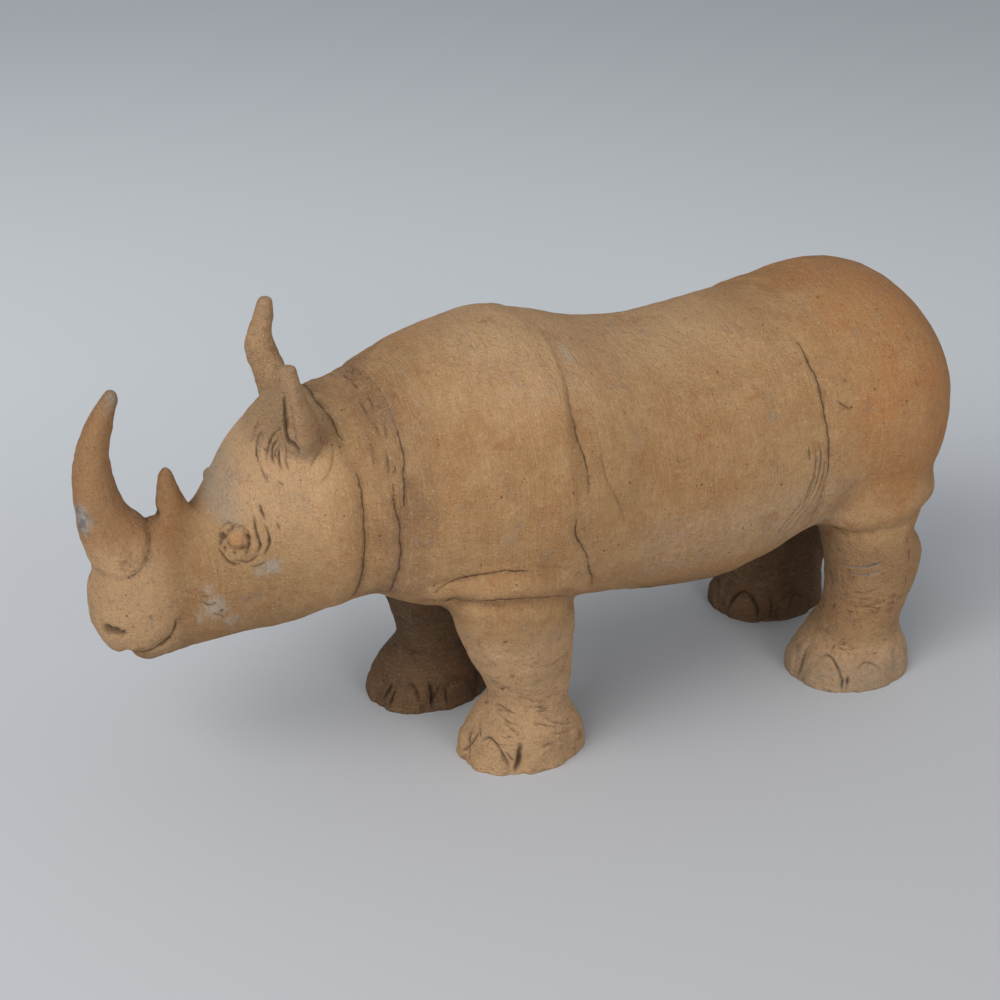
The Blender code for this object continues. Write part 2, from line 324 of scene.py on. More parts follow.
HEAD_TURN = math.radians(12)
HEAD_PIVOT = np.array([0.0, -150.0, 0.0])
HEAD_FORWARD = np.array([-math.sin(HEAD_TURN), -math.cos(HEAD_TURN), 0.0])
HEAD_LEFT = np.array([math.cos(HEAD_TURN), -math.sin(HEAD_TURN), 0.0])
UPWARD = np.array([0.0, 0.0, 1.0])

# %% Sections of the legs
# Legs, top to sole: z, y of the middle, half length, x of the middle, half width
FRONT_LEFT_LEG = [
    (128, -110, 33, 38, 30),
    (100, -104, 32, 38, 30),
    (80, -100, 30, 37, 28),
    (60, -96, 26, 35, 25),
    (44, -91, 22, 33, 22),
    (31, -90, 20, 32, 21),
    (20, -92, 27, 31, 25),
    (9, -91.5, 32.5, 29.5, 27),
    (-6, -91.5, 33.5, 29, 27.5),
]
FRONT_RIGHT_LEG = [
    (128, -114, 32, -38, 30),
    (100, -112, 30, -38, 30),
    (80, -112, 28, -39, 27),
    (60, -110, 24, -41, 24),
    (44, -108, 21, -42, 22),
    (31, -107, 20, -43, 21),
    (20, -109, 28, -43, 25),
    (9, -110, 33, -44, 27),
    (-6, -110, 34, -44, 28),
]
HIND_LEFT_LEG = [
    (128, 104, 40, 34, 34),
    (104, 106.5, 36.5, 38, 31),
    (88, 106.5, 24.5, 40, 28),
    (74, 112, 26, 42, 26),
    (60, 113, 25, 42, 24),
    (46, 111, 22.5, 42, 23),
    (34, 108, 21.5, 42, 22),
    (22, 105, 26, 41, 25),
    (10, 103, 33, 41, 29),
    (-6, 103, 34, 41, 30),
]
HIND_RIGHT_LEG = [
    (128, 104, 40, -34, 34),
    (104, 106.5, 37, -37, 31),
    (88, 109, 32, -38, 28),
    (74, 117, 38.5, -38, 26),
    (60, 120, 40.5, -38, 24),
    (46, 118, 39.5, -39, 23),
    (34, 110, 32.5, -39, 22),
    (22, 105, 30, -39, 24),
    (10, 103, 33, -40, 27),
    (-6, 103, 34, -40, 28),
]

# Each leg, and how many degrees its middle toe is turned from straight ahead
LEGS = [
    (FRONT_LEFT_LEG, 36),
    (FRONT_RIGHT_LEG, 44),
    (HIND_LEFT_LEG, 32),
    (HIND_RIGHT_LEG, 38),
]

# %% Sections of the horns, ears and tail
# Horns, root to tip, in the head's own plane: forward, z, half thickness, half width
FRONT_HORN = [
    (118, 118, 24, 22),
    (128, 134, 19, 18),
    (137, 152, 12.8, 14),
    (140, 170, 10.2, 11),
    (139.5, 184, 8.4, 9),
    (136.2, 197, 6.8, 7.4),
    (131.5, 208, 5.3, 5.8),
    (126.8, 216, 3.2, 3.8),
]
REAR_HORN = [
    (103, 140, 10.5, 9),
    (104, 150, 9, 8),
    (106, 160, 6.5, 6.5),
    (106.5, 169, 4.5, 4.5),
    (106, 175, 2.2, 2.4),
]

# Ears, root to tip: forward, left of the head's plane, z, half thickness, half breadth, and how
# much of the radius the ear's open slit takes away
LEFT_EAR = [
    (44, 24, 182, 6, 7, 0),
    (46.5, 31, 193, 7, 8, 0.4),
    (48, 34.5, 206, 7, 8.2, 0.95),
    (50, 36, 218, 5.4, 6.0, 0.95),
    (51.5, 37, 228, 4.3, 4.4, 0.6),
    (52.3, 37, 236, 3.6, 4.0, 0.1),
]
RIGHT_EAR = [
    (45.5, -26, 178, 7, 9, 0),
    (47.5, -31, 192, 7.5, 9, 0.2),
    (50, -34, 204, 6.5, 8.6, 0.6),
    (54, -36, 214, 6, 7.4, 0.6),
    (54, -37, 222, 5.0, 5.6, 0.3),
    (51.4, -37, 230, 4.0, 4.2, 0),
    (49.4, -37, 238, 2.6, 2.4, 0),
]
EAR_SLIT_TURN = 44
EAR_SLIT_HALF_WIDTH = 21

# Tail, lying against the rump, top to tip: y, z, half thickness
TAIL = [
    (152, 176, 4),
    (159, 164, 6),
    (162, 146, 5.5),
    (161, 128, 5),
    (158, 112, 6),
    (154, 100, 4),
]


# %% Lofts
def smooth_rows(rows, per_span=8):
    """Catmull-Rom: start + t * (after - before) / 2 + a square and a cube term, in each span."""
    rows = np.array(rows, float)
    padded = np.vstack([2 * rows[0] - rows[1], rows, 2 * rows[-1] - rows[-2]])
    before, start, end, after = (padded[i : i + len(rows) - 1, None] for i in range(4))
    t = np.linspace(0, 1, per_span, endpoint=False)[None, :, None]
    linear = end - before
    square = 2 * before - 5 * start + 4 * end - after
    cube = 3 * start - 3 * end + after - before
    curve = start + 0.5 * (linear * t + square * t**2 + cube * t**3)
    return np.vstack([curve.reshape(-1, rows.shape[1]), rows[-1:]])


def bump(distance, width):
    """exp(-(distance / width) squared): 1 on the line and next to nothing at twice the width."""
    return np.exp(-((distance / width) ** 2))


def fade(value, start, end):
    """0 at the start and 1 at the end, 3t^2 - 2t^3 between."""
    t = np.clip((value - start) / (end - start), 0, 1)
    return t * t * (3 - 2 * t)


def ring_shape(around, squareness=2.0):
    """A superellipse: cos and sin of the angle, each raised to the power 2 / squareness."""
    angle = np.linspace(0, 2 * math.pi, around, endpoint=False)
    across, up = np.cos(angle), np.sin(angle)
    power = 2 / squareness
    return np.sign(across) * abs(across) ** power, np.sign(up) * abs(up) ** power


def upright_loft(middles, left, half_width, top, under, squareness):
    """Each section: middle + left * half width * cos, at centre height + half height * sin."""
    across, up = ring_shape(96, squareness)
    height = (top + under)[:, None] / 2 + (top - under)[:, None] / 2 * up
    rings = middles[:, None, :] + left * (half_width[:, None] * across)[..., None]
    return rings + UPWARD * height[..., None]


def bent_loft(path, side, thickness, breadth, around=48, slit=0, slit_turn=0):
    """Sections square to a bent path: side * breadth * cos + depth * thickness * sin.

    A slit takes its share off the radius near its turn, as 1 - share * bump(turn - slit's turn).
    """
    tangent = np.gradient(path, axis=0)
    tangent /= np.linalg.norm(tangent, axis=1)[:, None]
    depth = np.cross(tangent, side)
    depth /= np.linalg.norm(depth, axis=1)[:, None]
    cosine, sine = ring_shape(around)
    turn = (np.degrees(np.arctan2(sine, cosine)) - slit_turn + 180) % 360 - 180
    reach = 1 - np.outer(slit * np.ones(len(path)), bump(turn, EAR_SLIT_HALF_WIDTH))
    spread = side * (reach * breadth[:, None] * cosine)[..., None]
    return path[:, None] + spread + depth[:, None] * (reach * thickness[:, None] * sine)[..., None]


def leg_loft(rows):
    """Level sections: x of the middle + half width * cos, y of the middle + half length * sin."""
    z, y, half_length, x, half_width = smooth_rows(rows).T
    across, along = ring_shape(64, 2.1)
    return np.stack(
        [
            x[:, None] + half_width[:, None] * across,
            y[:, None] + half_length[:, None] * along,
            z[:, None] + 0 * across,
        ],
        axis=2,
    )


def on_head(forward, left, z):
    """pivot + forward * the head's forward way + left * its left, at height z."""
    points = HEAD_PIVOT + forward[:, None] * HEAD_FORWARD + left[:, None] * HEAD_LEFT
    return points + z[:, None] * UPWARD


# %% All the masses as grids of rings
y, half_width, top, under = smooth_rows(BARREL).T
barrel = upright_loft(
    np.stack([0 * y, y, 0 * y], axis=1), np.array([1.0, 0, 0]), half_width, top, under, 2.15
)
forward, half_width, top, under = smooth_rows(HEAD).T
head_line = HEAD_PIVOT + forward[:, None] * HEAD_FORWARD
head = upright_loft(head_line, HEAD_LEFT, half_width, top, under, 2.2)
masses = [barrel, head] + [leg_loft(rows) for rows, _ in LEGS]
for rows in (FRONT_HORN, REAR_HORN):
    forward, z, thickness, half_width = smooth_rows(rows).T
    masses.append(bent_loft(on_head(forward, 0 * z, z), HEAD_LEFT, thickness, half_width))
for rows, slit_turn in ((LEFT_EAR, EAR_SLIT_TURN), (RIGHT_EAR, -EAR_SLIT_TURN)):
    forward, left, z, thickness, breadth, slit = smooth_rows(rows).T
    ear_line = on_head(forward, left, z)
    masses.append(
        bent_loft(ear_line, HEAD_FORWARD, thickness, breadth, 60, np.clip(slit, 0, 1), slit_turn)
    )
y, z, thickness = smooth_rows(TAIL).T
tail_line = np.stack([0 * y, y, z], axis=1)
masses.append(bent_loft(tail_line, np.array([1.0, 0, 0]), thickness, thickness, 24))
print(len(masses), "masses of", sum(m.shape[0] * m.shape[1] for m in masses), "points")

# %% [markdown]
# ## One skin
#
# The masses run into each other, as balls of clay do before they are pressed together. A voxel
# Remesh lays a fine grid of cubes through them and keeps only the outside of the whole, and a few
# rounds of averaging each point with its neighbours blend the joints as a wet thumb would. A
# Boolean union would keep hard edges where the masses meet, so the grid is the better way.

# %% From rings to one closed skin
MM = 0.001
CLAY_GRID = 1.35


def closed_tube(rings):
    """Points and triangles of a grid of rings, with a fan to the middle of each end."""
    count, around = rings.shape[:2]
    points = np.vstack([rings.reshape(-1, 3), rings[0].mean(axis=0), rings[-1].mean(axis=0)])
    first = np.arange(around)
    following = (first + 1) % around
    level = (np.arange(count - 1) * around)[:, None]
    a, b = level + first, level + following
    sides = np.concatenate(
        [np.stack([a, b, b + around], axis=-1), np.stack([a, b + around, a + around], axis=-1)]
    ).reshape(-1, 3)
    last = (count - 1) * around
    start_fan = np.stack([following, first, 0 * first + count * around], axis=1)
    end_fan = np.stack([last + first, last + following, 0 * first + count * around + 1], axis=1)
    triangles = np.vstack([sides, start_fan, end_fan])
    corners = points[triangles]
    volume = (corners[:, 0] * np.cross(corners[:, 1], corners[:, 2])).sum()
    return points, triangles if volume > 0 else triangles[:, ::-1]


def triangle_mesh(name, points, triangles):
    mesh = bpy.data.meshes.new(name)
    mesh.vertices.add(len(points))
    mesh.vertices.foreach_set("co", points.ravel())
    mesh.loops.add(triangles.size)
    mesh.loops.foreach_set("vertex_index", triangles.ravel())
    mesh.polygons.add(len(triangles))
    mesh.polygons.foreach_set("loop_start", np.arange(0, triangles.size, 3))
    mesh.update(calc_edges=True)
    return mesh


def bake_modifiers(piece):
    """The piece keeps the mesh that its modifiers make."""
    graph = bpy.context.evaluated_depsgraph_get()
    piece.data = bpy.data.meshes.new_from_object(piece.evaluated_get(graph))
    piece.modifiers.clear()
    piece.data.name = piece.name


tubes = [closed_tube(mass) for mass in masses]
starts = np.cumsum([0] + [len(points) for points, _ in tubes[:-1]])
all_points = np.vstack([points for points, _ in tubes])
all_triangles = np.vstack([triangles + start for (_, triangles), start in zip(tubes, starts)])
skin = bpy.data.objects.new(
    "rhinoceros_skin", triangle_mesh("rhinoceros_skin", all_points, all_triangles)
)
scene.collection.objects.link(skin)
press = skin.modifiers.new("press", "REMESH")
press.mode = "VOXEL"
press.voxel_size = CLAY_GRID
bake_modifiers(skin)
print("pressed skin:", len(skin.data.polygons), "faces")


# %% Thumb-smoothing
def read(collection, field, width, kind=np.float32):
    """One field of a mesh as rows of numbers."""
    values = np.empty(len(collection) * width, kind)
    collection.foreach_get(field, values)
    return values.reshape(-1, width)


def points_of(piece):
    return read(piece.data.vertices, "co", 3).astype(float)


def normals_of(piece):
    return read(piece.data.vertex_normals, "vector", 3).astype(float)


def edges_of(piece):
    return read(piece.data.edges, "vertices", 2, np.int32)


def move_points(piece, points):
    piece.data.vertices.foreach_set("co", points.ravel())
    piece.data.update()


def head_place(points):
    """How far forward of the pivot and to the side of the head's plane each point is."""
    offset = points - HEAD_PIVOT
    return offset @ HEAD_FORWARD, offset @ HEAD_LEFT, points[:, 2]


def relaxed(points, edges, share, rounds):
    """Each point moves by share of the way to the mean of its neighbours, rounds times."""
    ends = np.concatenate([edges, edges[:, ::-1]])
    neighbours = np.bincount(ends[:, 0], minlength=len(points))
    for _ in range(rounds):
        total = [np.bincount(ends[:, 0], points[ends[:, 1], k], len(points)) for k in range(3)]
        points = points + share * (np.stack(total, axis=1) / neighbours[:, None] - points)
    return points


skin_points, skin_edges = points_of(skin), edges_of(skin)
forward, left, z = head_place(skin_points)
on_ear = fade(z, 188, 198) * fade(abs(left), 20, 27) * fade(forward, 30, 38) * fade(forward, 72, 66)
skin_points = relaxed(skin_points, skin_edges, (0.5 - 0.45 * on_ear)[:, None], 19)
move_points(skin, skin_points)
print("smoothed; highest point at", round(skin_points[:, 2].max(), 1), "mm")

# %% [markdown]
# ## Marks of the point
#
# The maker drew wrinkles into the firm clay with a point: arcs in front of each ear and behind
# each eye, a comb of lines where the hip fold runs into the flank, outlines of the toenails. Each
# mark is a short row of places, dropped onto the skin, and the cut follows the curve through them.
# Drawing every one by hand on the mesh would give the same marks, but a list of places can be
# moved and repeated on the other side.

# %% Marks on the head
# Depth and half width of the cut, how chalky it is, then forward, left and z of its places
HEAD_MARKS = [
    (1.3, 0.6, 0, [(77, 36, 156), (74.5, 37, 151), (74.5, 37, 147), (76, 36, 142)]),
    (1.3, 0.6, 0, [(88, 29, 144), (85, 31, 141), (82, 33, 138), (78, 35, 138)]),
    (1.2, 0.6, 0, [(80, 35, 140), (76, 36, 139), (73, 37, 140), (70, 38, 143)]),
    (0.8, 0.5, 0, [(90, 28, 151), (88.5, 29, 156), (85, 31, 158), (81, 34, 158)]),
    (1.4, 0.65, 0, [(72, 37, 162), (71, 37, 156), (70, 38, 151), (69, 38, 147), (71, 38, 143)]),
    (1.3, 0.6, 0, [(69.5, 37, 168), (68, 37, 164), (66, 38, 160)]),
    (1.3, 0.6, 0, [(67, 38, 158), (65, 38, 153), (65, 39, 148), (67, 38, 143)]),
    (0.8, 0.5, 0, [(61, 39, 159), (60, 40, 155)]),
    (0.8, 0.5, 0, [(74, 37, 136), (70, 38, 137), (67, 39, 139)]),
    (1.2, 0.6, 0, [(62, 14, 195), (64, 15, 192), (66, 19, 188), (66, 22, 185), (65, 26, 182)]),
    (0.9, 0.5, 0, [(65, 25, 183), (64, 28, 179), (62, 31, 176)]),
    (1.3, 0.6, 0, [(53, 20, 198), (58, 20, 195), (60, 22, 192), (62, 24, 188), (62, 27, 185)]),
    (1.4, 0.6, 0, [(56, 23, 194), (59, 24, 191), (60, 27, 187), (59, 29, 184)]),
    (1.3, 0.6, 0, [(56, 26, 191), (57, 28, 188), (57, 30, 185), (56, 32, 182)]),
    (1.0, 0.5, 0, [(53, 29, 192), (54, 31, 186), (53, 33, 182)]),
    (0.9, 0.5, 0, [(58, 32, 177), (56, 34, 175)]),
    (0.6, 0.5, 0, [(44, 36, 183), (41, 36, 188), (37, 34, 192)]),
    (0.6, 0.5, 0, [(41, 40, 176), (35, 39, 183), (32, 33, 191)]),
    (1.7, 0.6, 0, [(131, 15, 86), (125, 17, 87), (119, 19, 90), (114, 21, 94), (112, 22, 97)]),
    (1.2, 0.55, 0, [(112, 22, 97), (110, 24, 102), (109, 26, 108)]),
    (2.2, 1.3, 0, [(57, 40, 222), (56, 42, 212), (57, 42, 204), (56, 40, 196), (53, 39, 191)]),
    (1.0, 0.45, 0, [(55, 20, 197), (59, 20.5, 193), (61, 23, 190), (61, 25.5, 186)]),
    (1.0, 0.45, 0, [(55, 25, 192), (58, 26, 189), (58.5, 28.5, 186)]),
    (0.8, 0.6, 0, [(97, 31, 118), (94, 32, 116), (91, 33, 117)]),
    (0.8, 0.6, 0, [(93, 32, 111), (89, 33, 110), (87, 33, 107)]),
]

# %% Marks on the barrel, the legs and the feet
# The same, with y and degrees up from the side
BARREL_MARKS = [
    (0.8, 0.55, 0, [(-170.5, 76), (-170, 66)]),
    (0.8, 0.55, 0, [(-166, 76), (-167, 68)]),
    (0.8, 0.55, 0, [(-169, 64), (-168.5, 57)]),
    (0.7, 0.55, 0, [(-164.7, 61), (-166, 54)]),
    (0.7, 0.55, 0, [(-167.4, 50), (-168.6, 40)]),
    (0.9, 0.6, 0, [(-168, 87), (-168, 83)]),
    (0.5, 0.5, 0, [(-70.5, 32), (-69.8, 24), (-68.9, 18), (-65.4, 12), (-61.4, 5), (-58.1, -2)]),
    (0.9, 0.5, 0, [(48.6, 9), (49.3, 3)]),
    (1.0, 0.5, 0, [(51.4, -7), (49.6, -15), (49, -19)]),
    (1.0, 0.5, 0, [(54.9, 11), (56.1, 4), (56.1, -3), (54.5, -10), (51.7, -17)]),
    (0.7, 0.5, 0, [(52.3, 8), (53.2, 0), (52.6, -8), (50.5, -15), (48, -20)]),
    (0.8, 0.5, 0, [(58.6, 2), (58.8, -6), (57.4, -13), (54.6, -20)]),
    (0.7, 0.5, 0, [(48, -16), (43, -21), (38.4, -26), (35.9, -32)]),
    (0.6, 0.5, 0, [(51, -18), (46, -23), (41.4, -28), (38.9, -34)]),
    (0.6, 0.5, 0, [(53.5, -20), (49, -26), (45, -32)]),
    (0.9, 0.5, 0, [(66, 26), (70, 23.5), (74, 21)]),
    (0.8, 0.5, 0, [(73, 34), (74.4, 32.4)]),
    (0.9, 0.5, 0, [(87.3, 27.6), (89.2, 26.4)]),
    (0.5, 0.5, 0, [(114, 46), (114.5, 42)]),
    (0.6, 0.5, 0, [(61.2, 32), (62.0, 28)]),
    (0.6, 0.5, 0, [(-28, 18), (-25, 16), (-22, 16.5)]),
]

# The same, with y and z on the outer side of a leg
LEG_MARKS = [
    (0.8, 0.5, 0, [(-115, 51), (-112, 48), (-111, 51), (-108, 47)]),
    (0.9, 0.55, 0, [(-110, 32), (-109, 34), (-107, 33), (-105, 32)]),
    (0.7, 0.5, 0, [(-110, 30), (-108.7, 28), (-106, 27), (-103, 27)]),
    (0.7, 0.5, 0, [(-109, 27), (-107.7, 25), (-104.5, 23)]),
    (0.6, 0.5, 0, [(-93, 32), (-87.7, 26.5), (-80.4, 22.5), (-72, 19)]),
    (0.7, 0.5, 0, [(-90, 21), (-82.3, 18.5), (-74.4, 16)]),
    (0.6, 0.5, 0, [(-86, 17), (-81.1, 13.5)]),
    (0.6, 0.5, 0, [(-97, 28), (-89.2, 24.5), (-84.6, 22.6)]),
    (0.5, 0.5, 0, [(-103.2, 43), (-98.5, 41.5), (-91, 41)]),
    (0.5, 0.5, 0, [(-102, 38), (-96, 36.5), (-90, 36.5)]),
    (0.5, 0.5, 0, [(-86.2, 41), (-79, 42)]),
    (0.9, 0.6, 0, [(-118.5, 85), (-117, 87)]),
    (0.6, 0.6, 0, [(-95, 64), (-88, 65.5), (-81, 68.5)]),
    (0.9, 0.5, 0, [(117.5, 80), (118.3, 76), (117.5, 72)]),
    (0.8, 0.5, 0, [(117, 87), (116.5, 83)]),
    (0.7, 0.5, 0, [(118.5, 63), (119.5, 57)]),
    (1.0, 0.6, 0, [(80, 91.5), (84, 90)]),
    (0.7, 0.5, 0.8, [(87, 70.5), (92, 71), (98, 74), (103, 77)]),
    (0.6, 0.5, 0.7, [(88, 66), (93, 66.5), (99, 69), (105, 74)]),
    (0.6, 0.5, 0.3, [(92, 55), (97, 56), (104, 59.5)]),
    (0.6, 0.5, 0.3, [(93, 47), (98, 47), (105, 50)]),
    (0.5, 0.5, 0, [(90, 51), (96, 51.5), (105, 54.5)]),
    (0.9, 0.7, 0, [(88.6, 43), (88.2, 40)]),
]

# The same for each foot, with degrees round from straight ahead and z
FOOT_MARKS = [
    [
        (1.5, 0.8, 0, [(0, 18), (2, 12), (7, 7), (10, 3)]),
        (1.6, 0.8, 0, [(15, 18), (9, 13), (4, 9), (-3, 4)]),
        (0.9, 0.6, 0, [(10, 22), (16, 19), (22, 17)]),
        (1.3, 0.8, 0, [(22, 15), (30, 18.5), (38, 18), (46, 14.5), (52, 9), (57, 3)]),
        (2.8, 1.2, 0, [(66, 17), (65, 12), (64, 6), (61, 2)]),
        (0.9, 0.6, 0, [(52, 14), (57, 10), (60, 8)]),
        (0.6, 0.6, 0, [(84, 14), (92, 15), (99, 13)]),
    ],
    [
        (1.6, 0.8, 0, [(30, 15), (26, 10), (20, 4)]),
        (1.4, 0.8, 0, [(36, 13), (33, 7), (30, 2)]),
        (1.2, 0.8, 0, [(46, 15), (52, 16), (57, 13), (60, 8)]),
        (2.2, 1.0, 0, [(70, 16), (73, 10), (72, 3)]),
        (1.4, 0.8, 0, [(80, 15), (76, 10), (73, 6)]),
        (1.2, 0.7, 0, [(86, 12), (85, 4)]),
    ],
    [
        (1.4, 0.7, 0, [(0, 17), (3, 12), (5, 7), (3, 2)]),
        (1.2, 0.7, 0, [(24, 16.5), (32, 18.5), (40, 17.5), (48, 13.5), (52, 9), (53, 6)]),
        (1.6, 0.8, 0.5, [(54, 9), (54, 2)]),
        (1.4, 0.8, 0.5, [(59, 9), (59, 3)]),
        (0.8, 0.6, 0, [(66, 13), (74, 16), (84, 15), (94, 10)]),
        (0.7, 0.6, 0, [(36, 21), (37, 24)]),
    ],
    [
        (1.2, 0.8, 0, [(20, 4), (26, 13), (36, 17), (45, 15)]),
        (2.0, 1.0, 0, [(45, 15), (52, 9), (54, 3)]),
        (1.0, 0.8, 0, [(66, 14), (68, 8), (66, 2)]),
        (0.9, 0.7, 0, [(83, 3), (88, 12), (95, 14), (103, 10)]),
    ],
]


# %% Dropping the marks onto the skin
bpy.context.view_layer.update()


def nearest_on_skin(place):
    """The skin's point nearest to a place given on the head."""
    start = on_head(*np.array(place, float)[:, None])[0]
    return np.array(skin.closest_point_on_mesh(start)[1])


def first_on_skin(start, way):
    """The first point of the skin that a straight line from the start meets."""
    found, hit = skin.ray_cast(start, way)[:2]
    return hit if found else start


def out_from_barrel(y, turn, side):
    """From the barrel's middle line out at a number of degrees up from the side."""
    way = (side * math.cos(math.radians(turn)), 0, math.sin(math.radians(turn)))
    return first_on_skin((0, y, BARREL_MIDDLE), way)


def out_from_foot(turn, z, rows):
    """From the foot's middle out at a number of degrees from straight ahead."""
    _, y, half_length, x, half_width = rows[-1]
    turn = math.radians(turn)
    way = (math.sin(turn) * half_width, -math.cos(turn) * half_length, 0)
    return first_on_skin((x, y, max(z, 0.5)), way)


def drop(marks, place_of):
    """Each mark's smooth curve with all of its points on the skin."""
    return [
        (depth, width, chalk, np.array([place_of(row) for row in smooth_rows(places, 4)]))
        for depth, width, chalk, places in marks
    ]


cuts = []
for side in (1, -1):
    cuts += drop(HEAD_MARKS, lambda row: nearest_on_skin((row[0], side * row[1], row[2])))
    cuts += drop(BARREL_MARKS, lambda row: out_from_barrel(row[0], row[1], side))
    cuts += drop(LEG_MARKS, lambda row: first_on_skin((side * 200, row[0], row[1]), (-side, 0, 0)))
for (rows, _), marks in zip(LEGS, FOOT_MARKS):
    cuts += drop(marks, lambda row: out_from_foot(row[0], row[1], rows))
print(len(cuts), "marks on the skin, the longest", max(len(c[3]) for c in cuts), "points")


# %% Distance to a mark
def along_mark(points, line):
    """Distance from each point to a row of short straight spans, and how far along it lies.

    For each span: the share t of the way along it, kept between 0 and 1, and the distance to
    start + t * span; the least distance wins.
    """
    spans = line[1:] - line[:-1]
    offset = points[:, None, :] - line[:-1]
    length = np.maximum((spans**2).sum(axis=1), 1e-9)
    t = np.clip((offset * spans).sum(axis=2) / length, 0, 1)
    distance = np.linalg.norm(offset - t[..., None] * spans, axis=2)
    nearest = distance.argmin(axis=1)
    rows = np.arange(len(points))
    return distance[rows, nearest], (nearest + t[rows, nearest]) / len(spans)


def near_marks(points, reach):
    """For each mark, which points lie within reach of its box."""
    for depth, width, chalk, line in cuts:
        low, high = line.min(axis=0) - reach, line.max(axis=0) + reach
        inside = np.nonzero(((points > low) & (points < high)).all(axis=1))[0]
        if len(inside):
            yield depth, width, chalk, line, inside


# %% [markdown]
# ## Folds of skin
#
# Each fold is a line round the barrel: soft valley, roll beside it, and here and there a crack at
# its foot where the clay opened as it dried. A table gives the line by its height round the barrel,
# and the depth of valley and crack there, so a fold can be deep on the cheek and gone on the back.

# %% Folds round the barrel
# Degrees up from the side (90 is the spine), y there, depth of the valley, strength of the crack
CHEEK_FOLD = [
    (-60, -180, 1.0, 0.4), (-36, -180, 1.5, 1.0), (-15, -180, 1.4, 0.9),
    (10, -180, 1.4, 0.7), (30, -180, 1.8, 0.75), (42, -180, 2.4, 0.6),
    (50, -180.5, 2.9, 0.15), (61, -182, 2.6, 0.15), (68, -183.5, 1.8, 0.6),
    (76, -184, 1.4, 1.0), (90, -186, 1.3, 1.0),
]
NECK_FOLD = [
    (-60, -162, 0.8, 0.2), (-51, -163, 1.0, 0.5), (-32, -165.6, 1.1, 0.75),
    (-16, -164.9, 1.1, 0.8), (0, -165.5, 1.1, 0.95), (10, -166, 1.0, 0.95),
    (19, -166.9, 0.8, 0.85), (27, -167.8, 0.6, 0.75), (33, -168, 0.4, 0.5),
    (39, -168, 0.2, 0), (90, -166, 0.2, 0),
]
NECK_BACK_FOLD = [
    (-10, -163, 0, 0), (8, -164, 0.2, 0.2), (15, -164.5, 0.4, 0.6), (23, -163.6, 0.6, 0.85),
    (31, -162.7, 0.8, 0.9), (37, -162.3, 0.9, 0.95), (42, -160.8, 0.9, 0.85),
    (50, -160.7, 0.8, 0.55), (64, -160.7, 0.7, 0.2), (78, -160.7, 0.6, 0),
    (90, -161, 0.6, 0),
]
THROAT_FOLD = [
    (-20, -153.5, 0, 0), (0, -152.6, 0.5, 0), (11, -150.4, 0.7, 0.1), (23, -149, 0.8, 0.25),
    (36, -148.2, 0.8, 0.15), (53, -144.8, 0.6, 0), (90, -136, 0.3, 0),
]
THROAT_BACK_FOLD = [
    (-34, -152, 0, 0), (-21, -153, 0.5, 0.15), (-10, -155, 0.6, 0.2), (0, -156, 0.5, 0.1),
    (12, -155.4, 0.3, 0), (22, -155, 0, 0),
]
SHOULDER_FOLD = [
    (8, -78.4, 0.1, 0), (15, -78.4, 0.4, 0.4), (23, -78.6, 0.7, 0.55),
    (28, -79.7, 0.8, 0.55), (34, -81.5, 0.8, 0.6), (41, -81.6, 0.8, 0.5),
    (47, -80.8, 0.7, 0.4), (54, -78.1, 0.6, 0.3), (61, -76, 0.4, 0), (90, -73, 0.2, 0),
]
ELBOW_FOLD = [
    (-42, -66, 0.3, 0), (-31, -69.5, 0.8, 0.8), (-24, -74, 0.9, 0.5),
    (-12, -79.4, 0.9, 0.65), (-7, -82.8, 1.0, 0.95), (-4, -85.1, 1.0, 0.95),
    (0, -86.4, 0.9, 0.95), (3, -86.5, 0.6, 0.8), (8, -87, 0.2, 0),
]
HIP_FOLD = [
    (-40, 60.3, 0.8, 0.1), (-30, 60.3, 1.0, 0.35), (-20, 60.5, 1.0, 0.35),
    (-10, 60.9, 1.0, 0.45), (-5, 61.8, 0.9, 0.55), (2, 61.5, 0.8, 0.7),
    (10, 60.7, 0.7, 0.95), (19, 59.4, 0.7, 1.0), (26, 58.9, 0.6, 1.0), (31, 59.2, 0.6, 1.0),
    (38, 58.8, 0.6, 0.95), (44, 57.4, 0.5, 0.9), (50, 56.6, 0.4, 0.65),
    (56, 55.7, 0.3, 0.3), (60, 57, 0.3, 0), (72, 62, 0.4, 0), (80, 65, 0.5, 0),
    (90, 67, 0.5, 0),
]
FOLDS = [CHEEK_FOLD, NECK_FOLD, NECK_BACK_FOLD, THROAT_FOLD, THROAT_BACK_FOLD]
FOLDS += [SHOULDER_FOLD, ELBOW_FOLD, HIP_FOLD]

# Rolls and ridges: half width, height, how far behind the line it lies, then degrees and y
ROLLS = [
    (8, 1.5, -8, [(-60, -180), (42, -180), (61, -182), (90, -186)]),
    (7, 0.5, -7, [(-60, -162), (0, -165.5), (40, -166), (90, -161)]),
    (7, 0.5, 8, [(-20, -153), (11, -150.4), (36, -148.2), (53, -144.8), (90, -136)]),
    (2.2, 0.7, 0, [(-25, -74.7), (-2, -85.1), (9, -88.4), (21, -89.5), (38, -86.2), (71, -77.9)]),
    (8, 1.0, -7, [(-46, -62), (0, -83), (24, -87), (48, -85), (68, -80), (90, -76)]),
    (8, 1.2, 9, [(-34, 60), (26, 59), (50, 56), (68, 60), (90, 67)]),
    (2.5, 0.5, 3, [(56, 56), (68, 60), (80, 65), (90, 67)]),
]

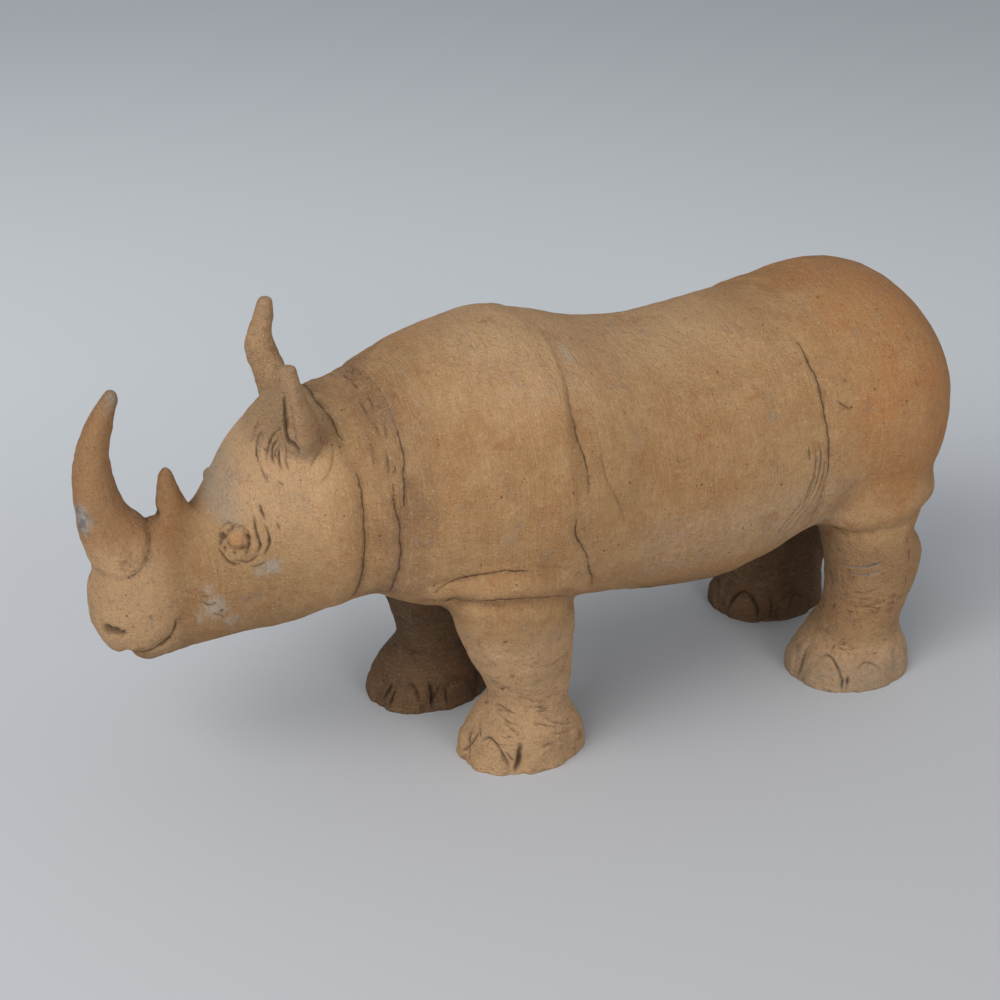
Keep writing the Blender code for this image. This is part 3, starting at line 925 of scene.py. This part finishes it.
# Folds over the legs: y, z there, strength of the crack
ROLL_TOP_CRACK = [
    (-154, 106, 0), (-147, 116, 0.45), (-143.5, 120, 0.5), (-139, 123, 0.85),
    (-134, 125, 0.95), (-127.6, 127, 0.95), (-119.6, 128, 0.95), (-112.4, 127, 0.85),
    (-106, 125, 0.35), (-96, 119, 0.15), (-76, 108, 0),
]
ROLL_FOOT_CRACK = [
    (-146, 98, 0), (-140, 102, 0.4), (-134, 107, 0.7), (-128, 112, 1.0),
    (-122.4, 113.5, 1.0), (-107, 111, 1.0), (-98.8, 109, 0.9), (-91.8, 107, 0.75),
    (-77, 97, 0.3), (-70, 92, 0),
]
HAUNCH_CRACK = [
    (72, 92, 0), (81, 92.5, 0.4), (88, 94.5, 0.35), (97, 95.5, 0.2), (108, 96.5, 0.1),
    (122, 98, 0),
]
LEG_ROLL = ([-150, -133, -112, -85, -64], [110, 117, 119, 112, 96])
LEG_HEM = ([70, 88, 100, 114, 128], [96, 98, 100, 101, 104])

# Groove round the foot of the big horn, a ring seen from the side: forward, z, radius
HORN_COLLAR = (135, 145, 18)
CRACK_REACH = 6


def around_barrel(points):
    """Degrees up from the side, about the barrel's middle line."""
    return np.degrees(np.arctan2(points[:, 2] - BARREL_MIDDLE, abs(points[:, 0])))


def fold_values(turn, rows):
    """The fold's y, valley and crack at each turn, straight between the rows, 0 past the ends."""
    turns, places, valleys, cracks = np.array(rows, float).T
    on_fold = (turn >= turns[0]) & (turn <= turns[-1])
    valley, crack = (np.interp(turn, turns, column) * on_fold for column in (valleys, cracks))
    return np.interp(turn, turns, places), valley, crack


def off_collar(forward, z):
    """Signed distance to the groove round the big horn."""
    middle, height, radius = HORN_COLLAR
    return np.hypot(forward - middle, z - height) - radius


def crack_values(points):
    """Signed distance to the nearest crack, CRACK_REACH at most, and that crack's strength."""
    x, y, z = points.T
    turn = around_barrel(points)
    forward, _, _ = head_place(points)
    on_barrel = fade(z, 88, 98) * (y > -230) * fade(forward, 62, 54)
    found = []
    for rows in FOLDS:
        place, _, crack = fold_values(turn, rows)
        found.append((y - place, crack * on_barrel))
    outer = fade(abs(x), 30, 40)
    for rows in (ROLL_TOP_CRACK, ROLL_FOOT_CRACK, HAUNCH_CRACK):
        places, heights, cracks = np.array(rows, float).T
        found.append((z - np.interp(y, places, heights), np.interp(y, places, cracks) * outer))
    on_collar = 0.4 * fade(z, 158, 150) * fade(z, 121, 130) * (forward > 100)
    found.append((off_collar(forward, z), on_collar))
    near, strength = 0 * x + CRACK_REACH, 0 * x
    for offset, crack in found:
        crack = crack * fade(abs(offset), CRACK_REACH, CRACK_REACH / 2)
        near = np.where(crack > strength, np.clip(offset, -CRACK_REACH, CRACK_REACH), near)
        strength = np.maximum(crack, strength)
    return near, strength


# %% [markdown]
# ## Finer clay where the tool went
#
# A cut with a point is half a millimetre wide, and a grid fine enough for it all over would be
# huge. So the faces are split again only along the marks and the cracks, on the eyes and the
# nostrils, and in the ears.

# %% Places on the head, in millimetres
# Forward of the pivot, left of the head's plane, z
EYES = [(79, 35, 150), (84, -34, 152)]
NOSTRIL = (139, 18.5, 102)


def distance_on_head(points, place, mirrored=True):
    """Distance to the skin's point nearest to a place, or to its twin if the place is mirrored."""
    twins = (1, -1) if mirrored else (1,)
    spots = [nearest_on_skin((place[0], side * place[1], place[2])) for side in twins]
    return np.min([np.linalg.norm(points - np.array(spot), axis=1) for spot in spots], axis=0)


# %% Splitting the faces there
def wants_fine_clay(points):
    """True near the cracks, the marks, the eyes and the nostrils, and in the ears."""
    forward, left, z = head_place(points)
    offset, strength = crack_values(points)
    fine = (abs(offset) < 2.2) & (strength > 0.12)
    fine |= (forward > 36) & (forward < 66) & (z > 190) & (abs(left) > 22)
    for eye in EYES:
        fine |= distance_on_head(points, eye, False) < 9
    fine |= distance_on_head(points, NOSTRIL) < 7
    for _, width, _, line, inside in near_marks(points, 2.5):
        distance, _ = along_mark(points[inside], line)
        fine[inside[distance < 1.4 + width]] = True
    return fine


def split_faces(piece, chosen):
    """Each chosen face becomes four, and the faces beside them are cut to fit."""
    mesh = bmesh.new()
    mesh.from_mesh(piece.data)
    mesh.edges.ensure_lookup_table()
    inner = [mesh.edges[i] for i in np.nonzero(chosen)[0]]
    bmesh.ops.subdivide_edges(mesh, edges=inner, cuts=1, use_grid_fill=True)
    mesh.to_mesh(piece.data)
    mesh.free()


edge_fine = wants_fine_clay(skin_points)[skin_edges].all(axis=1)
split_faces(skin, edge_fine)
print("split skin:", len(skin.data.polygons), "faces")

# %% [markdown]
# ## Carving
#
# Every mark is a height added along the surface: a roll of skin is a wide soft bump, a cut is a
# narrow dip, a crack is a very narrow one that wanders. Adding heights along the normal keeps the
# skin closed whatever is carved, which cutting with Booleans wouldn't promise.


# %% Uneven clay
def lattice(cell, seed):
    """A repeatable value between -1 and 1 for each whole-number cell, by mixing its bits."""
    mixed_bits = cell[:, 0] * 73856093 ^ cell[:, 1] * 19349663 ^ cell[:, 2] * 83492791
    mixed_bits = (mixed_bits + seed * 2654435761) & 0xFFFFFFFF
    mixed_bits = ((mixed_bits ^ (mixed_bits >> 15)) * 73244475) & 0xFFFFFFFF
    mixed_bits = ((mixed_bits ^ (mixed_bits >> 15)) * 73244475) & 0xFFFFFFFF
    return (mixed_bits ^ (mixed_bits >> 16)) / 0x7FFFFFFF - 1


def lumps(points, size, seed):
    """Value noise: lattice values a size apart, blended by 3t^2 - 2t^3 along x, y and z."""
    scaled = points / size
    cell = np.floor(scaled).astype(np.int64)
    part = scaled - cell
    part = part * part * (3 - 2 * part)
    total = 0
    for corner in np.ndindex(2, 2, 2):
        weight = np.prod(np.where(corner, part, 1 - part), axis=1)
        total = total + weight * lattice(cell + np.array(corner), seed)
    return total


def ridges(offset, spacing, width):
    """1 on each of a family of lines a spacing apart, as bump is on one."""
    return bump(offset - spacing * np.round(offset / spacing), width)


# %% Folds and rolls
def fold_relief(points):
    """Rolls add height * bump(y - line, width); folds take valley * bump(y - line, about 2)."""
    _, y, z = points.T
    turn = around_barrel(points)
    on_barrel = fade(z, 92, 104)
    relief = 0 * y
    for width, height, behind, line in ROLLS:
        turns, places = np.array(line, float).T
        ends = fade(turn, turns[0] - 12, turns[0]) * fade(turn, turns[-1] + 12, turns[-1])
        offset = y - np.interp(turn, turns, places) - behind
        relief += on_barrel * ends * height * bump(offset, width)
    for rows in FOLDS:
        place, valley, _ = fold_values(turn, rows)
        relief -= on_barrel * valley * bump(y - place, 2.0 + 0.7 * valley)
    return relief


def leg_skin_relief(points):
    """The roll of skin over the front leg and the hem over the hind one: a ridge above a dip."""
    x, y, z = points.T
    outer = fade(abs(x), 34, 46)
    offset = z - np.interp(y, *LEG_ROLL)
    along = fade(y, -158, -146) * fade(y, -64, -80) * outer
    relief = along * (2.8 * bump(offset, 6) - 2.2 * bump(offset + 10, 4))
    relief -= along * 0.7 * bump(offset - 8.5, 2.2)
    offset = z - np.interp(y, *LEG_HEM)
    along = fade(y, 70, 82) * fade(y, 150, 132) * outer
    return relief + along * (1.2 * bump(offset - 5, 6) - 1.9 * bump(offset + 5, 4))


# %% Head: eyes, nostrils, mouth and the horn's collar
# Pits pressed with the point: forward, left, z, radius, depth
PITS = [
    (140, 18.5, 102.5, 2.3, 3.4),
    (137, 20, 102, 2.0, 2.8),
    (134, 20.5, 101, 1.4, 1.8),
    (87, 29.5, 150.5, 1.6, 2.6),
    (87.5, 29.5, 147, 1.1, 1.6),
    (84.5, 31, 144.5, 0.9, 1.3),
    (80.5, 34, 143.5, 0.9, 1.2),
    (75, 37, 145.5, 0.9, 1.2),
    (82.5, 33, 155.5, 0.9, 1.2),
    (91, 32, 117, 0.9, 1.2),
    (88, 32, 113, 0.8, 1.0),
    (95, 31, 121, 0.8, 0.9),
    (113, 2, 152, 1.8, 1.6),
]
MOUTH = ([107, 110, 118, 126, 133], [110, 99, 91, 87, 84])


def head_relief(points):
    """Pellets pressed on as eyes, with a ring cut round each, and the muzzle's soft forms."""
    forward, left, z = head_place(points)
    side = abs(left)
    uneven = lumps(points, 2.4, 21)
    relief = 0 * z
    for eye in EYES:
        off_eye = distance_on_head(points, eye, False)
        off_pellet = distance_on_head(points, (eye[0] + 0.5, eye[1], eye[2] + 1), False)
        off_pellet += 0.9 * uneven + 0.5 * lumps(points, 1.3, 22)
        relief += 1.2 * bump(off_eye, 7) + 2.0 * fade(off_pellet, 5.4, 2.6)
        relief -= (1.5 + 0.9 * uneven) * bump(off_pellet - 5.9, 0.75)
    line = np.interp(forward, *MOUTH)
    mouth = fade(forward, 103, 108) * fade(forward, 138, 132) * fade(side, 6, 12)
    relief -= mouth * 0.9 * bump(z - line, 2.6)
    relief -= 2.4 * bump(forward - 132, 2.6) * fade(side, 20, 14) * fade(z, 92, 86)

    ring = off_collar(forward, z)
    collar = fade(z, 156, 146) * fade(z, 118, 126)
    relief += collar * (0.7 * bump(ring + 4, 4) - 0.9 * bump(ring, 1.8))
    return relief * fade(forward, 30, 45)


def pit_relief(points):
    """Minus the depth of the pressed pits, each a bump with an uneven edge."""
    uneven = 0.5 * lumps(points, 2.0, 61)
    relief = np.zeros(len(points))
    for *place, radius, depth in PITS:
        off_pit = distance_on_head(points, place) + uneven * min(1, radius / 2)
        relief = np.minimum(relief, -depth * bump(np.maximum(off_pit, 0), radius))
    return relief


# %% Toes
def foot_place(points, rows):
    """Degrees round from the foot's front, and distance from its middle as a share of its size."""
    _, foot_y, half_length, foot_x, half_width = rows[-1]
    across = (points[:, 0] - foot_x) / half_width
    along = (foot_y - points[:, 1]) / half_length
    return np.degrees(np.arctan2(across, along)), np.hypot(across, along)


def toe_relief(points):
    """Soft cuts between the toes and a soft step round the nails, and ragged edges at the sole."""
    z = points[:, 2]
    relief = 0 * z
    for rows, facing in LEGS:
        turn, reach = foot_place(points, rows)
        turn = (turn - facing + 180) % 360 - 180
        on_foot = fade(reach, 1.5, 1.25) * fade(z, 24, 14)
        for cut in (-82, -28, 28, 82):
            relief -= 1.3 * on_foot * fade(z, 0, 6) * bump(turn - cut, 5.5)
        for toe in (-54, 0, 54):
            arch = np.hypot((turn - toe) / 20, (z + 1) / 17)
            relief += on_foot * (0.9 * fade(arch, 1.05, 0.75) - 0.5 * bump(arch - 1.05, 0.12))
        ragged = fade(z, 3.2, 0.4) * fade(reach, 1.5, 1.25)
        relief += ragged * (0.35 * lumps(points, 5, 33) + 0.35 * lumps(points, 2.4, 34))
    return relief


# %% Cracks and combed patches
def crack_wander(points):
    """How far a crack strays from its fold."""
    return 0.5 * lumps(points, 7, 11) + 0.3 * lumps(points, 3, 13)


def crack_relief(points):
    """A narrow dip along each crack, as deep as its strength, broken by lumps, with one lip."""
    offset, strength = crack_values(points)
    broken = np.clip(strength + 0.45 * lumps(points, 5, 12) - 0.15, 0, 1)
    offset = offset + crack_wander(points)
    return broken * (0.15 * bump(offset - 1.8, 0.9) - 0.8 * bump(offset, 0.7))


def comb_relief(points):
    """Rows of teeth marks: beside the neck fold, and in rings round the legs."""
    _, y, z = points.T
    turn = around_barrel(points)
    wander = 0.7 * lumps(points, 7, 41)
    broken = fade(lumps(points, 5, 42), -0.3, 0.5)
    window = fade(y, -174, -171) * fade(y, -160, -163) * fade(turn, 36, 46) * fade(turn, 86, 78)
    relief = -0.45 * window * broken * ridges(y + wander, 2.3, 0.6)
    wander = 2.2 * lumps(points, 14, 43) + 0.8 * lumps(points, 5, 44)
    broken = fade(lumps(points * np.array([1, 1, 2.5]), 8, 45), 0.0, 0.6)
    window = fade(z, 18, 26) * fade(z, 82, 66)
    return relief - 0.4 * window * broken * ridges(z + wander, 3.6, 0.7)


def mark_relief(points):
    """Each mark cuts by its depth * bump of distance, shallow at its ends, with raised lips.

    Gives back the height and how chalky each point is.
    """
    relief, chalky = np.zeros(len(points)), np.zeros(len(points))
    uneven = 1 + 0.35 * lumps(points, 3, 51)
    shake = 0.22 * lumps(points, 2.2, 52)
    for depth, width, chalk, line, inside in near_marks(points, 4):
        distance, along = along_mark(points[inside], line)
        taper = np.sqrt(np.clip(np.sin(math.pi * np.clip(along, 0.02, 0.98)), 0, 1))
        cut = taper * uneven[inside] * bump(np.maximum(distance + shake[inside], 0), width)
        lip = bump(distance - 2.2 * width, width)
        relief[inside] = np.minimum(relief[inside], -depth * cut) + 0.14 * depth * taper * lip
        chalky[inside] = np.maximum(chalky[inside], chalk * taper * bump(distance - width, width))
    return relief, chalky


# %% Adding it all up
def strongest(*values):
    """The largest of the values at each point."""
    return np.maximum.reduce(values)


skin_points, skin_normals = points_of(skin), normals_of(skin)
forward, left, z = head_place(skin_points)
rough = strongest(
    fade(z, 96, 78) * (skin_points[:, 1] > CHEST_Y),
    fade(forward, 95, 112),
    0.8 * fade(z, 186, 194) * fade(forward, 26, 34),
)
rough = np.clip(rough + 0.25 * fade(forward, 36, 60), 0, 1)
thumbed = (
    0.45 * lumps(skin_points, 34, 1)
    + 0.28 * lumps(skin_points, 15, 2)
    + (0.16 + 0.20 * rough) * lumps(skin_points, 6, 3)
    + (0.08 + 0.22 * rough) * lumps(skin_points, 3.1, 4)
)
marks, chalky = mark_relief(skin_points)
marks = np.minimum(marks, pit_relief(skin_points))
carved = fold_relief(skin_points) + leg_skin_relief(skin_points) + head_relief(skin_points)
carved += toe_relief(skin_points) + crack_relief(skin_points) + comb_relief(skin_points) + marks
skin_points += skin_normals * (carved + thumbed)[:, None]
print("deepest cut", round(-carved.min(), 1), "mm; highest roll", round(carved.max(), 1), "mm")


# %% [markdown]
# ## What the colour needs to know
#
# Dust settles in hollows, edges wear pale, and the kiln's flame turned some parts more orange than
# others. The hollows, the cuts, the far legs and the head's underside also get painted shade, and
# the near legs painted light. Each of these is stored on the skin's points as a value from 0 to 1,
# so that the material can read it wherever the skin goes.

# %% How deep each point lies
def hollow_at(points, normals, edges, rounds, full):
    """How far the smoothed skin stands above the point, as a share of the full depth."""
    above = ((relaxed(points, edges, 0.5, rounds) - points) * normals).sum(axis=1)
    return np.clip(above / full, -1, 1)


move_points(skin, skin_points)
skin_normals, skin_edges = normals_of(skin), edges_of(skin)
fine_hollow = hollow_at(skin_points, skin_normals, skin_edges, 5, 0.6)
broad_hollow = hollow_at(skin_points, skin_normals, skin_edges, 40, 2.2)
hollow = np.clip(np.maximum(fine_hollow - 0.15, 0.7 * broad_hollow), 0, 1)
proud = np.clip(-np.minimum(fine_hollow, broad_hollow), 0, 1)
print("hollow points:", int((hollow > 0.5).sum()), "proud points:", int((proud > 0.5).sum()))


# %% Chalk, dust, flame, stain and painted shade, pale clay and painted light, and worn places
# Forward, left, z, size and strength of pale dust on the head
DUST_SPOTS = [
    (64, 39, 136, 5, 1.1),
    (70, 38, 134, 4, 0.7),
    (94, 32, 124, 4, 0.7),
    (91, 32, 115, 7, 0.95),
    (84, 32, 106, 6, 0.7),
    (98, 30, 108, 5, 0.5),
    (126, 6, 214, 7, 0.7),
    (131, 3, 208, 5, 0.4),
]
# The same for orange clay on the head
ORANGE_SPOTS = [
    (80, 36, 151, 5, 1.1),
    (84, 34, 111, 5, 0.7),
    (116, 20, 108, 12, 0.5),
    (102, 8, 160, 12, 0.7),
    (60, 30, 184, 8, 0.35),
]


def spots_at(points, spots):
    """The strongest of several round spots: strength * bump(distance, size)."""
    bumps = [
        strength * bump(distance_on_head(points, place), size) for *place, size, strength in spots
    ]
    return strongest(*bumps)


x, y, z = skin_points.T
turn = around_barrel(skin_points)
near_side, hind = fade(x, 0, 12), fade(y, 20, 50)
behind_neck = y > CHEST_Y
on_leg = fade(z, 100, 78) * behind_neck
on_back = fade(z, 190, 210) * fade(y, -150, -110) * fade(y, 70, 20)
on_flank = fade(z, 92, 104) * fade(z, 156, 128) * fade(y, -64, -40) * fade(y, 100, 70)
worn_horn = bump(forward - 148, 5.5) * bump(z - 156, 10) * fade(left, -4, 6)
chalk = np.clip(strongest(worn_horn, chalky), 0, 1)
dust = strongest(
    spots_at(skin_points, DUST_SPOTS),
    0.6 * fade(z, 150, 158) * fade(forward, 66, 82) * fade(forward, 100, 94),
    0.3 * fade(z, 140, 172) * fade(forward, 20, 50) * fade(forward, 96, 84),
    0.6 * bump(y + 71, 4) * bump(turn - 66, 9),
    0.5 * fade(z, 34, 8) * hind * fade(x, 0, 8),
    0.28 * on_back,
    0.36 * on_flank,
)
kiln = strongest(
    spots_at(skin_points, ORANGE_SPOTS),
    1.1 * fade(forward, 96, 112) * fade(z, 126, 150),
    0.5 * fade(z, 190, 204) * fade(abs(left), 24, 30) * (forward > 30),
    0.75 * fade(y, 30, 110) * fade(z, 92, 136),
    0.45 * on_leg * fade(y, 0, 40) * fade(z, 20, 34),
)
# Darker clay: painted shade on the far legs and the lower far flank, under the head and low on the
# belly, and a darker band round the neck and low on the rump
stain_and_shade = strongest(
    0.42 * bump(y + 164, 15) * fade(z, 100, 112),
    0.66 * fade(x, 10, -14) * fade(z, 112, 84) * behind_neck,
    0.42 * fade(y, 110, 150) * fade(z, 80, 90) * fade(z, 150, 112),
    0.3 * fade(z, 92, 80) * (1 - on_leg),
)
# Lighter clay: painted light on the near front leg and the top of the near hind leg, and paler on
# the near hind foot, the muzzle, the forehead, the far ear and along the top of the back
pale_and_lit = strongest(
    0.95 * near_side * fade(z, 96, 76) * fade(y, -20, -50) * behind_neck,
    0.35 * near_side * fade(z, 96, 80) * hind,
    near_side * fade(z, 34, 18) * hind,
    0.85 * fade(forward, 100, 124) * fade(z, 160, 132),
    0.34 * fade(forward, 100, 112) * fade(z, 130, 150),
    0.62 * fade(forward, 20, 60) * fade(forward, 100, 88) * fade(z, 130, 175),
    0.7 * fade(left, -20, -28) * fade(z, 186, 200) * (forward > 30),
    0.25 * on_back,
)

# %% Storing them on the skin
crack_offset, crack_strength = crack_values(skin_points)
# The hollow and cut values are painted shade in the clay, and the stain and pale ones carry painted
# shade and painted light as well
stored_values = {
    "hollow": hollow,
    "proud": proud,
    "chalk": chalk,
    "dust": dust,
    "kiln": kiln,
    "stain_and_shade": stain_and_shade,
    "pale_and_lit": pale_and_lit,
    "rough": rough,
    "on_leg": on_leg,
    "wrinkled": on_leg * (0.35 + 0.65 * fade(z, 62, 46)) * fade(z, 12, 20),
    "combed": 0.9 * bump(y + 167, 9) * fade(turn, 20, 36) * fade(z, 100, 112),
    "cut": np.clip(-marks / 1.1, 0, 1),
    "seam": crack_strength,
    "seam_offset": crack_offset + crack_wander(skin_points),
}
for name, values in stored_values.items():
    attribute = skin.data.attributes.new(name, "FLOAT", "POINT")
    attribute.data.foreach_set("value", values.astype(np.float32))
print("stored:", list(stored_values))

# %% [markdown]
# ## Thinned, cut flat and set in place
#
# Decimate gives up triangles where the clay is plain and keeps them in the cuts. The feet are
# then cut flat on the table, and the whole is moved sideways so that the middle of its box meets
# the middle of the solid's.

# %% Thin, cut and place
MOST_TRIANGLES = 196000

triangles = sum(len(face.vertices) - 2 for face in skin.data.polygons)
thin = skin.modifiers.new("thin", "DECIMATE")
thin.ratio = min(1, MOST_TRIANGLES / triangles)
bake_modifiers(skin)


def cut_flat(piece):
    """Everything under z = 0 goes, and each sole is closed with one face, then made triangles."""
    mesh = bmesh.new()
    mesh.from_mesh(piece.data)
    parts = mesh.verts[:] + mesh.edges[:] + mesh.faces[:]
    bmesh.ops.bisect_plane(
        mesh, geom=parts, plane_co=(0, 0, 0), plane_no=(0, 0, 1), clear_inner=True
    )
    rim = [edge for edge in mesh.edges if edge.is_boundary]
    bmesh.ops.holes_fill(mesh, edges=rim)
    bmesh.ops.triangulate(mesh, faces=[face for face in mesh.faces if len(face.verts) > 4])
    mesh.to_mesh(piece.data)
    mesh.free()


cut_flat(skin)
skin_points = points_of(skin) * MM
low, high = skin_points.min(axis=0), skin_points.max(axis=0)
shift = (np.array(solid_low) + np.array(solid_high) - low - high) / 2
shift[2] = 0
skin.data.polygons.foreach_set("use_smooth", np.ones(len(skin.data.polygons), bool))
move_points(skin, skin_points + shift)
print("skin's box in mm:", np.round((high - low) * 1000, 1), "moved by", np.round(shift * 1000, 1))

# %% [markdown]
# ## The clay
#
# Fired clay is never one colour. Iron burns orange where the flame reached, dust greys the
# hollows, and the grit shows as white and near-black specks. Each of these is a mask from noise
# or from a value stored on the skin, and each mixes one more tone over the last.

# %% Tones
BUFF = (0.50, 0.305, 0.145, 1)
OCHRE = (0.41, 0.225, 0.095, 1)
RUST = (0.36, 0.150, 0.060, 1)
EMBER = (0.47, 0.205, 0.070, 1)
SAND = (0.93, 0.585, 0.32, 1)
UMBER = (0.20, 0.115, 0.066, 1)
ASH = (0.30, 0.235, 0.18, 1)
DUST = (0.48, 0.405, 0.315, 1)
CHALK = (0.60, 0.56, 0.50, 1)
SLATE = (0.31, 0.31, 0.33, 1)
# Near-black for the painted shade in hollows, cuts, cracks, pits and drawn wrinkles
SHADE_DARK = (0.075, 0.045, 0.030, 1)
GRIT_WHITE = (0.72, 0.50, 0.28, 1)
GRIT_BLACK = (0.09, 0.06, 0.05, 1)

# Size of the grain as the light shows it, in metres
GRAIN_DEPTH = 0.0025

clay = bpy.data.materials.new("fired_clay")
clay.use_nodes = True
tree = clay.node_tree
shader = tree.nodes["Principled BSDF"]
shader.inputs["Specular IOR Level"].default_value = 0.22
place = add_node("ShaderNodeTexCoord").outputs["Object"]


def stored(name):
    """A value that the skin's points carry."""
    return add_node("ShaderNodeAttribute", attribute_name=name).outputs["Fac"]


# %% Broad colour
colour = mixed(between(noise(place, 22, 10, 0.78), 0.40, 0.60), OCHRE, BUFF)
licks = times(noise(place, 26, 8, 0.72), 1.7)
colour = mixed(between(plus(licks, stored("kiln")), 1.0, 1.85), colour, EMBER)
# Sand colour where the clay is pale and where light is painted on
colour = mixed(stored("pale_and_lit"), colour, SAND)
# Umber over the stain and the painted shade, broken by noise
stain_and_shade_mask = between(plus(noise(place, 60, 6, 0.7), stored("stain_and_shade")), 0.45, 1.35)
colour = mixed(stain_and_shade_mask, colour, UMBER)
rust_patch = between(noise(stretched(place, (66, 46, 56)), 1.0, 9, 0.76), 0.54, 0.68)
ash_patch = between(noise(stretched(place, (84, 70, 76)), 1.0, 9, 0.78), 0.55, 0.70)
patches = [(rust_patch, 0.70, RUST), (ash_patch, 0.70, ASH), (stored("proud"), 0.35, BUFF)]
colour = laid_over(colour, patches)

# %% Dust and chalk
dusty = between(plus(noise(place, 300, 5, 0.7), stored("dust")), 0.62, 1.45)
colour = mixed(dusty, colour, DUST)
chalk_tone = mixed(between(noise(place, 120, 4, 0.6), 0.36, 0.50), SLATE, CHALK)
chalky = between(plus(noise(place, 210, 5, 0.7), stored("chalk")), 0.65, 1.5)
colour = mixed(chalky, colour, chalk_tone)


# %% Streaks of the scraper, grit and pits
def specks(scale, chance, size):
    """1 inside a few of the cells' middles: the cells whose random value is above the chance."""
    cells = add_node("ShaderNodeTexVoronoi", {"Vector": place, "Scale": scale})
    pick = add_node("ShaderNodeSeparateColor", {0: cells.outputs["Color"]}).outputs[0]
    inside = between(cells.outputs["Distance"], size, size * 0.5)
    return times(maths("GREATER_THAN", pick, chance), inside)


round_barrel = noise(stretched(place, (45, 1100, 45)), 1.0, 3, 0.65)
round_leg = noise(stretched(place, (90, 90, 800)), 1.0, 3, 0.6)
either = {0: stored("on_leg"), 2: round_barrel, 3: round_leg}
streaks = add_node("ShaderNodeMix", either).outputs[0]
sand = noise(place, 900, 4, 0.8)
grit = noise(place, 1400, 2, 0.6)
coarse = noise(place, 330, 5, 0.75)
pits = specks(230, 0.955, 0.15)
grains = [
    (between(streaks, 0.52, 0.68), 0.17, GRIT_WHITE),
    (between(streaks, 0.48, 0.32), 0.18, RUST),
    (between(sand, 0.53, 0.62), 0.22, GRIT_WHITE),
    (between(sand, 0.47, 0.38), 0.30, RUST),
    (between(grit, 0.42, 0.28), 0.50, UMBER),
    (between(grit, 0.60, 0.74), 0.45, GRIT_WHITE),
    (between(coarse, 0.45, 0.34), 0.30, RUST),
    (between(coarse, 0.55, 0.66), 0.18, GRIT_WHITE),
    (specks(560, 0.975, 0.32), 0.5, CHALK),
    (specks(520, 0.965, 0.30), 0.6, GRIT_BLACK),
    # Painted shade in the pits
    (pits, 0.75, SHADE_DARK),
]
colour = laid_over(colour, grains)

# %% Cracks finer than the skin's own triangles
wander = times(maths("SUBTRACT", noise(place, 520, 3, 0.6), 0.5), 1.6)
off_crack = maths("ABSOLUTE", plus(stored("seam_offset"), wander))
crack_width = spread(noise(place, 260, 2), 0.2, 0.62, 0.3, 0.7)
broken = plus(stored("seam"), times(noise(place, 210, 3, 0.6), 0.9))
crack_line = times(
    between(off_crack, crack_width, times(crack_width, 0.35)), between(broken, 0.72, 1.05)
)
# Painted shade: a soft umber darkening in the valley beside each crack, broken by noise
crack_valley_shade = times(between(off_crack, 3.2, 0.2), stored("seam"))
crack_valley_shade = times(crack_valley_shade, between(noise(place, 180, 4, 0.7), 0.38, 0.62))


# %% Wrinkles drawn by the brush: level ones round the legs, upright ones beside the neck fold
def wrinkle_lines(scale):
    """1 on the lines where a stretched noise passes its middle value, in broken stretches."""
    wave = noise(stretched(place, scale), 1.0, 4, 0.6)
    line = between(maths("ABSOLUTE", maths("SUBTRACT", wave, 0.5)), 0.016, 0.003)
    return times(line, between(noise(place, 95, 4, 0.65), 0.50, 0.62))


leg_lines = times(wrinkle_lines((38, 38, 150)), stored("wrinkled"))
neck_lines = times(wrinkle_lines((60, 240, 26)), stored("combed"))
wrinkles = maths("MAXIMUM", leg_lines, neck_lines)

# %% Painted shade in the hollows, cuts, wrinkles and cracks, and the shader's own settings
# Painted shade: near-black in the hollows and the cuts and along the wrinkles and cracks, umber
# beside the cracks
shades = [
    (wrinkles, 0.6, SHADE_DARK),
    (stored("hollow"), 0.42, SHADE_DARK),
    (stored("cut"), 0.6, SHADE_DARK),
    (crack_valley_shade, 0.5, UMBER),
    (crack_line, 0.6, SHADE_DARK),
]
tree.links.new(laid_over(colour, shades), shader.inputs["Base Color"])
tree.links.new(spread(sand, 0.80, 0.98), shader.inputs["Roughness"])

# %% Grain to the touch
roughened = spread(stored("rough"), 0.5, 1.35)
height = summed(
    [
        (summed([(sand, 1.0), (coarse, 1.9), (grit, 0.5)]), roughened),
        (streaks, 0.22),
        (noise(place, 150, 4, 0.65), 0.9),
        (pits, -0.9),
        (crack_line, -0.9),
        (wrinkles, -0.5),
    ]
)
relief = add_node("ShaderNodeBump", {"Height": height, "Strength": 1.0, "Distance": GRAIN_DEPTH})
tree.links.new(relief.outputs["Normal"], shader.inputs["Normal"])
skin.data.materials.clear()
skin.data.materials.append(clay)
print("clay nodes:", len(tree.nodes))

# %% The skin stands for the solid
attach(skin, "root")
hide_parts("rhinoceros")
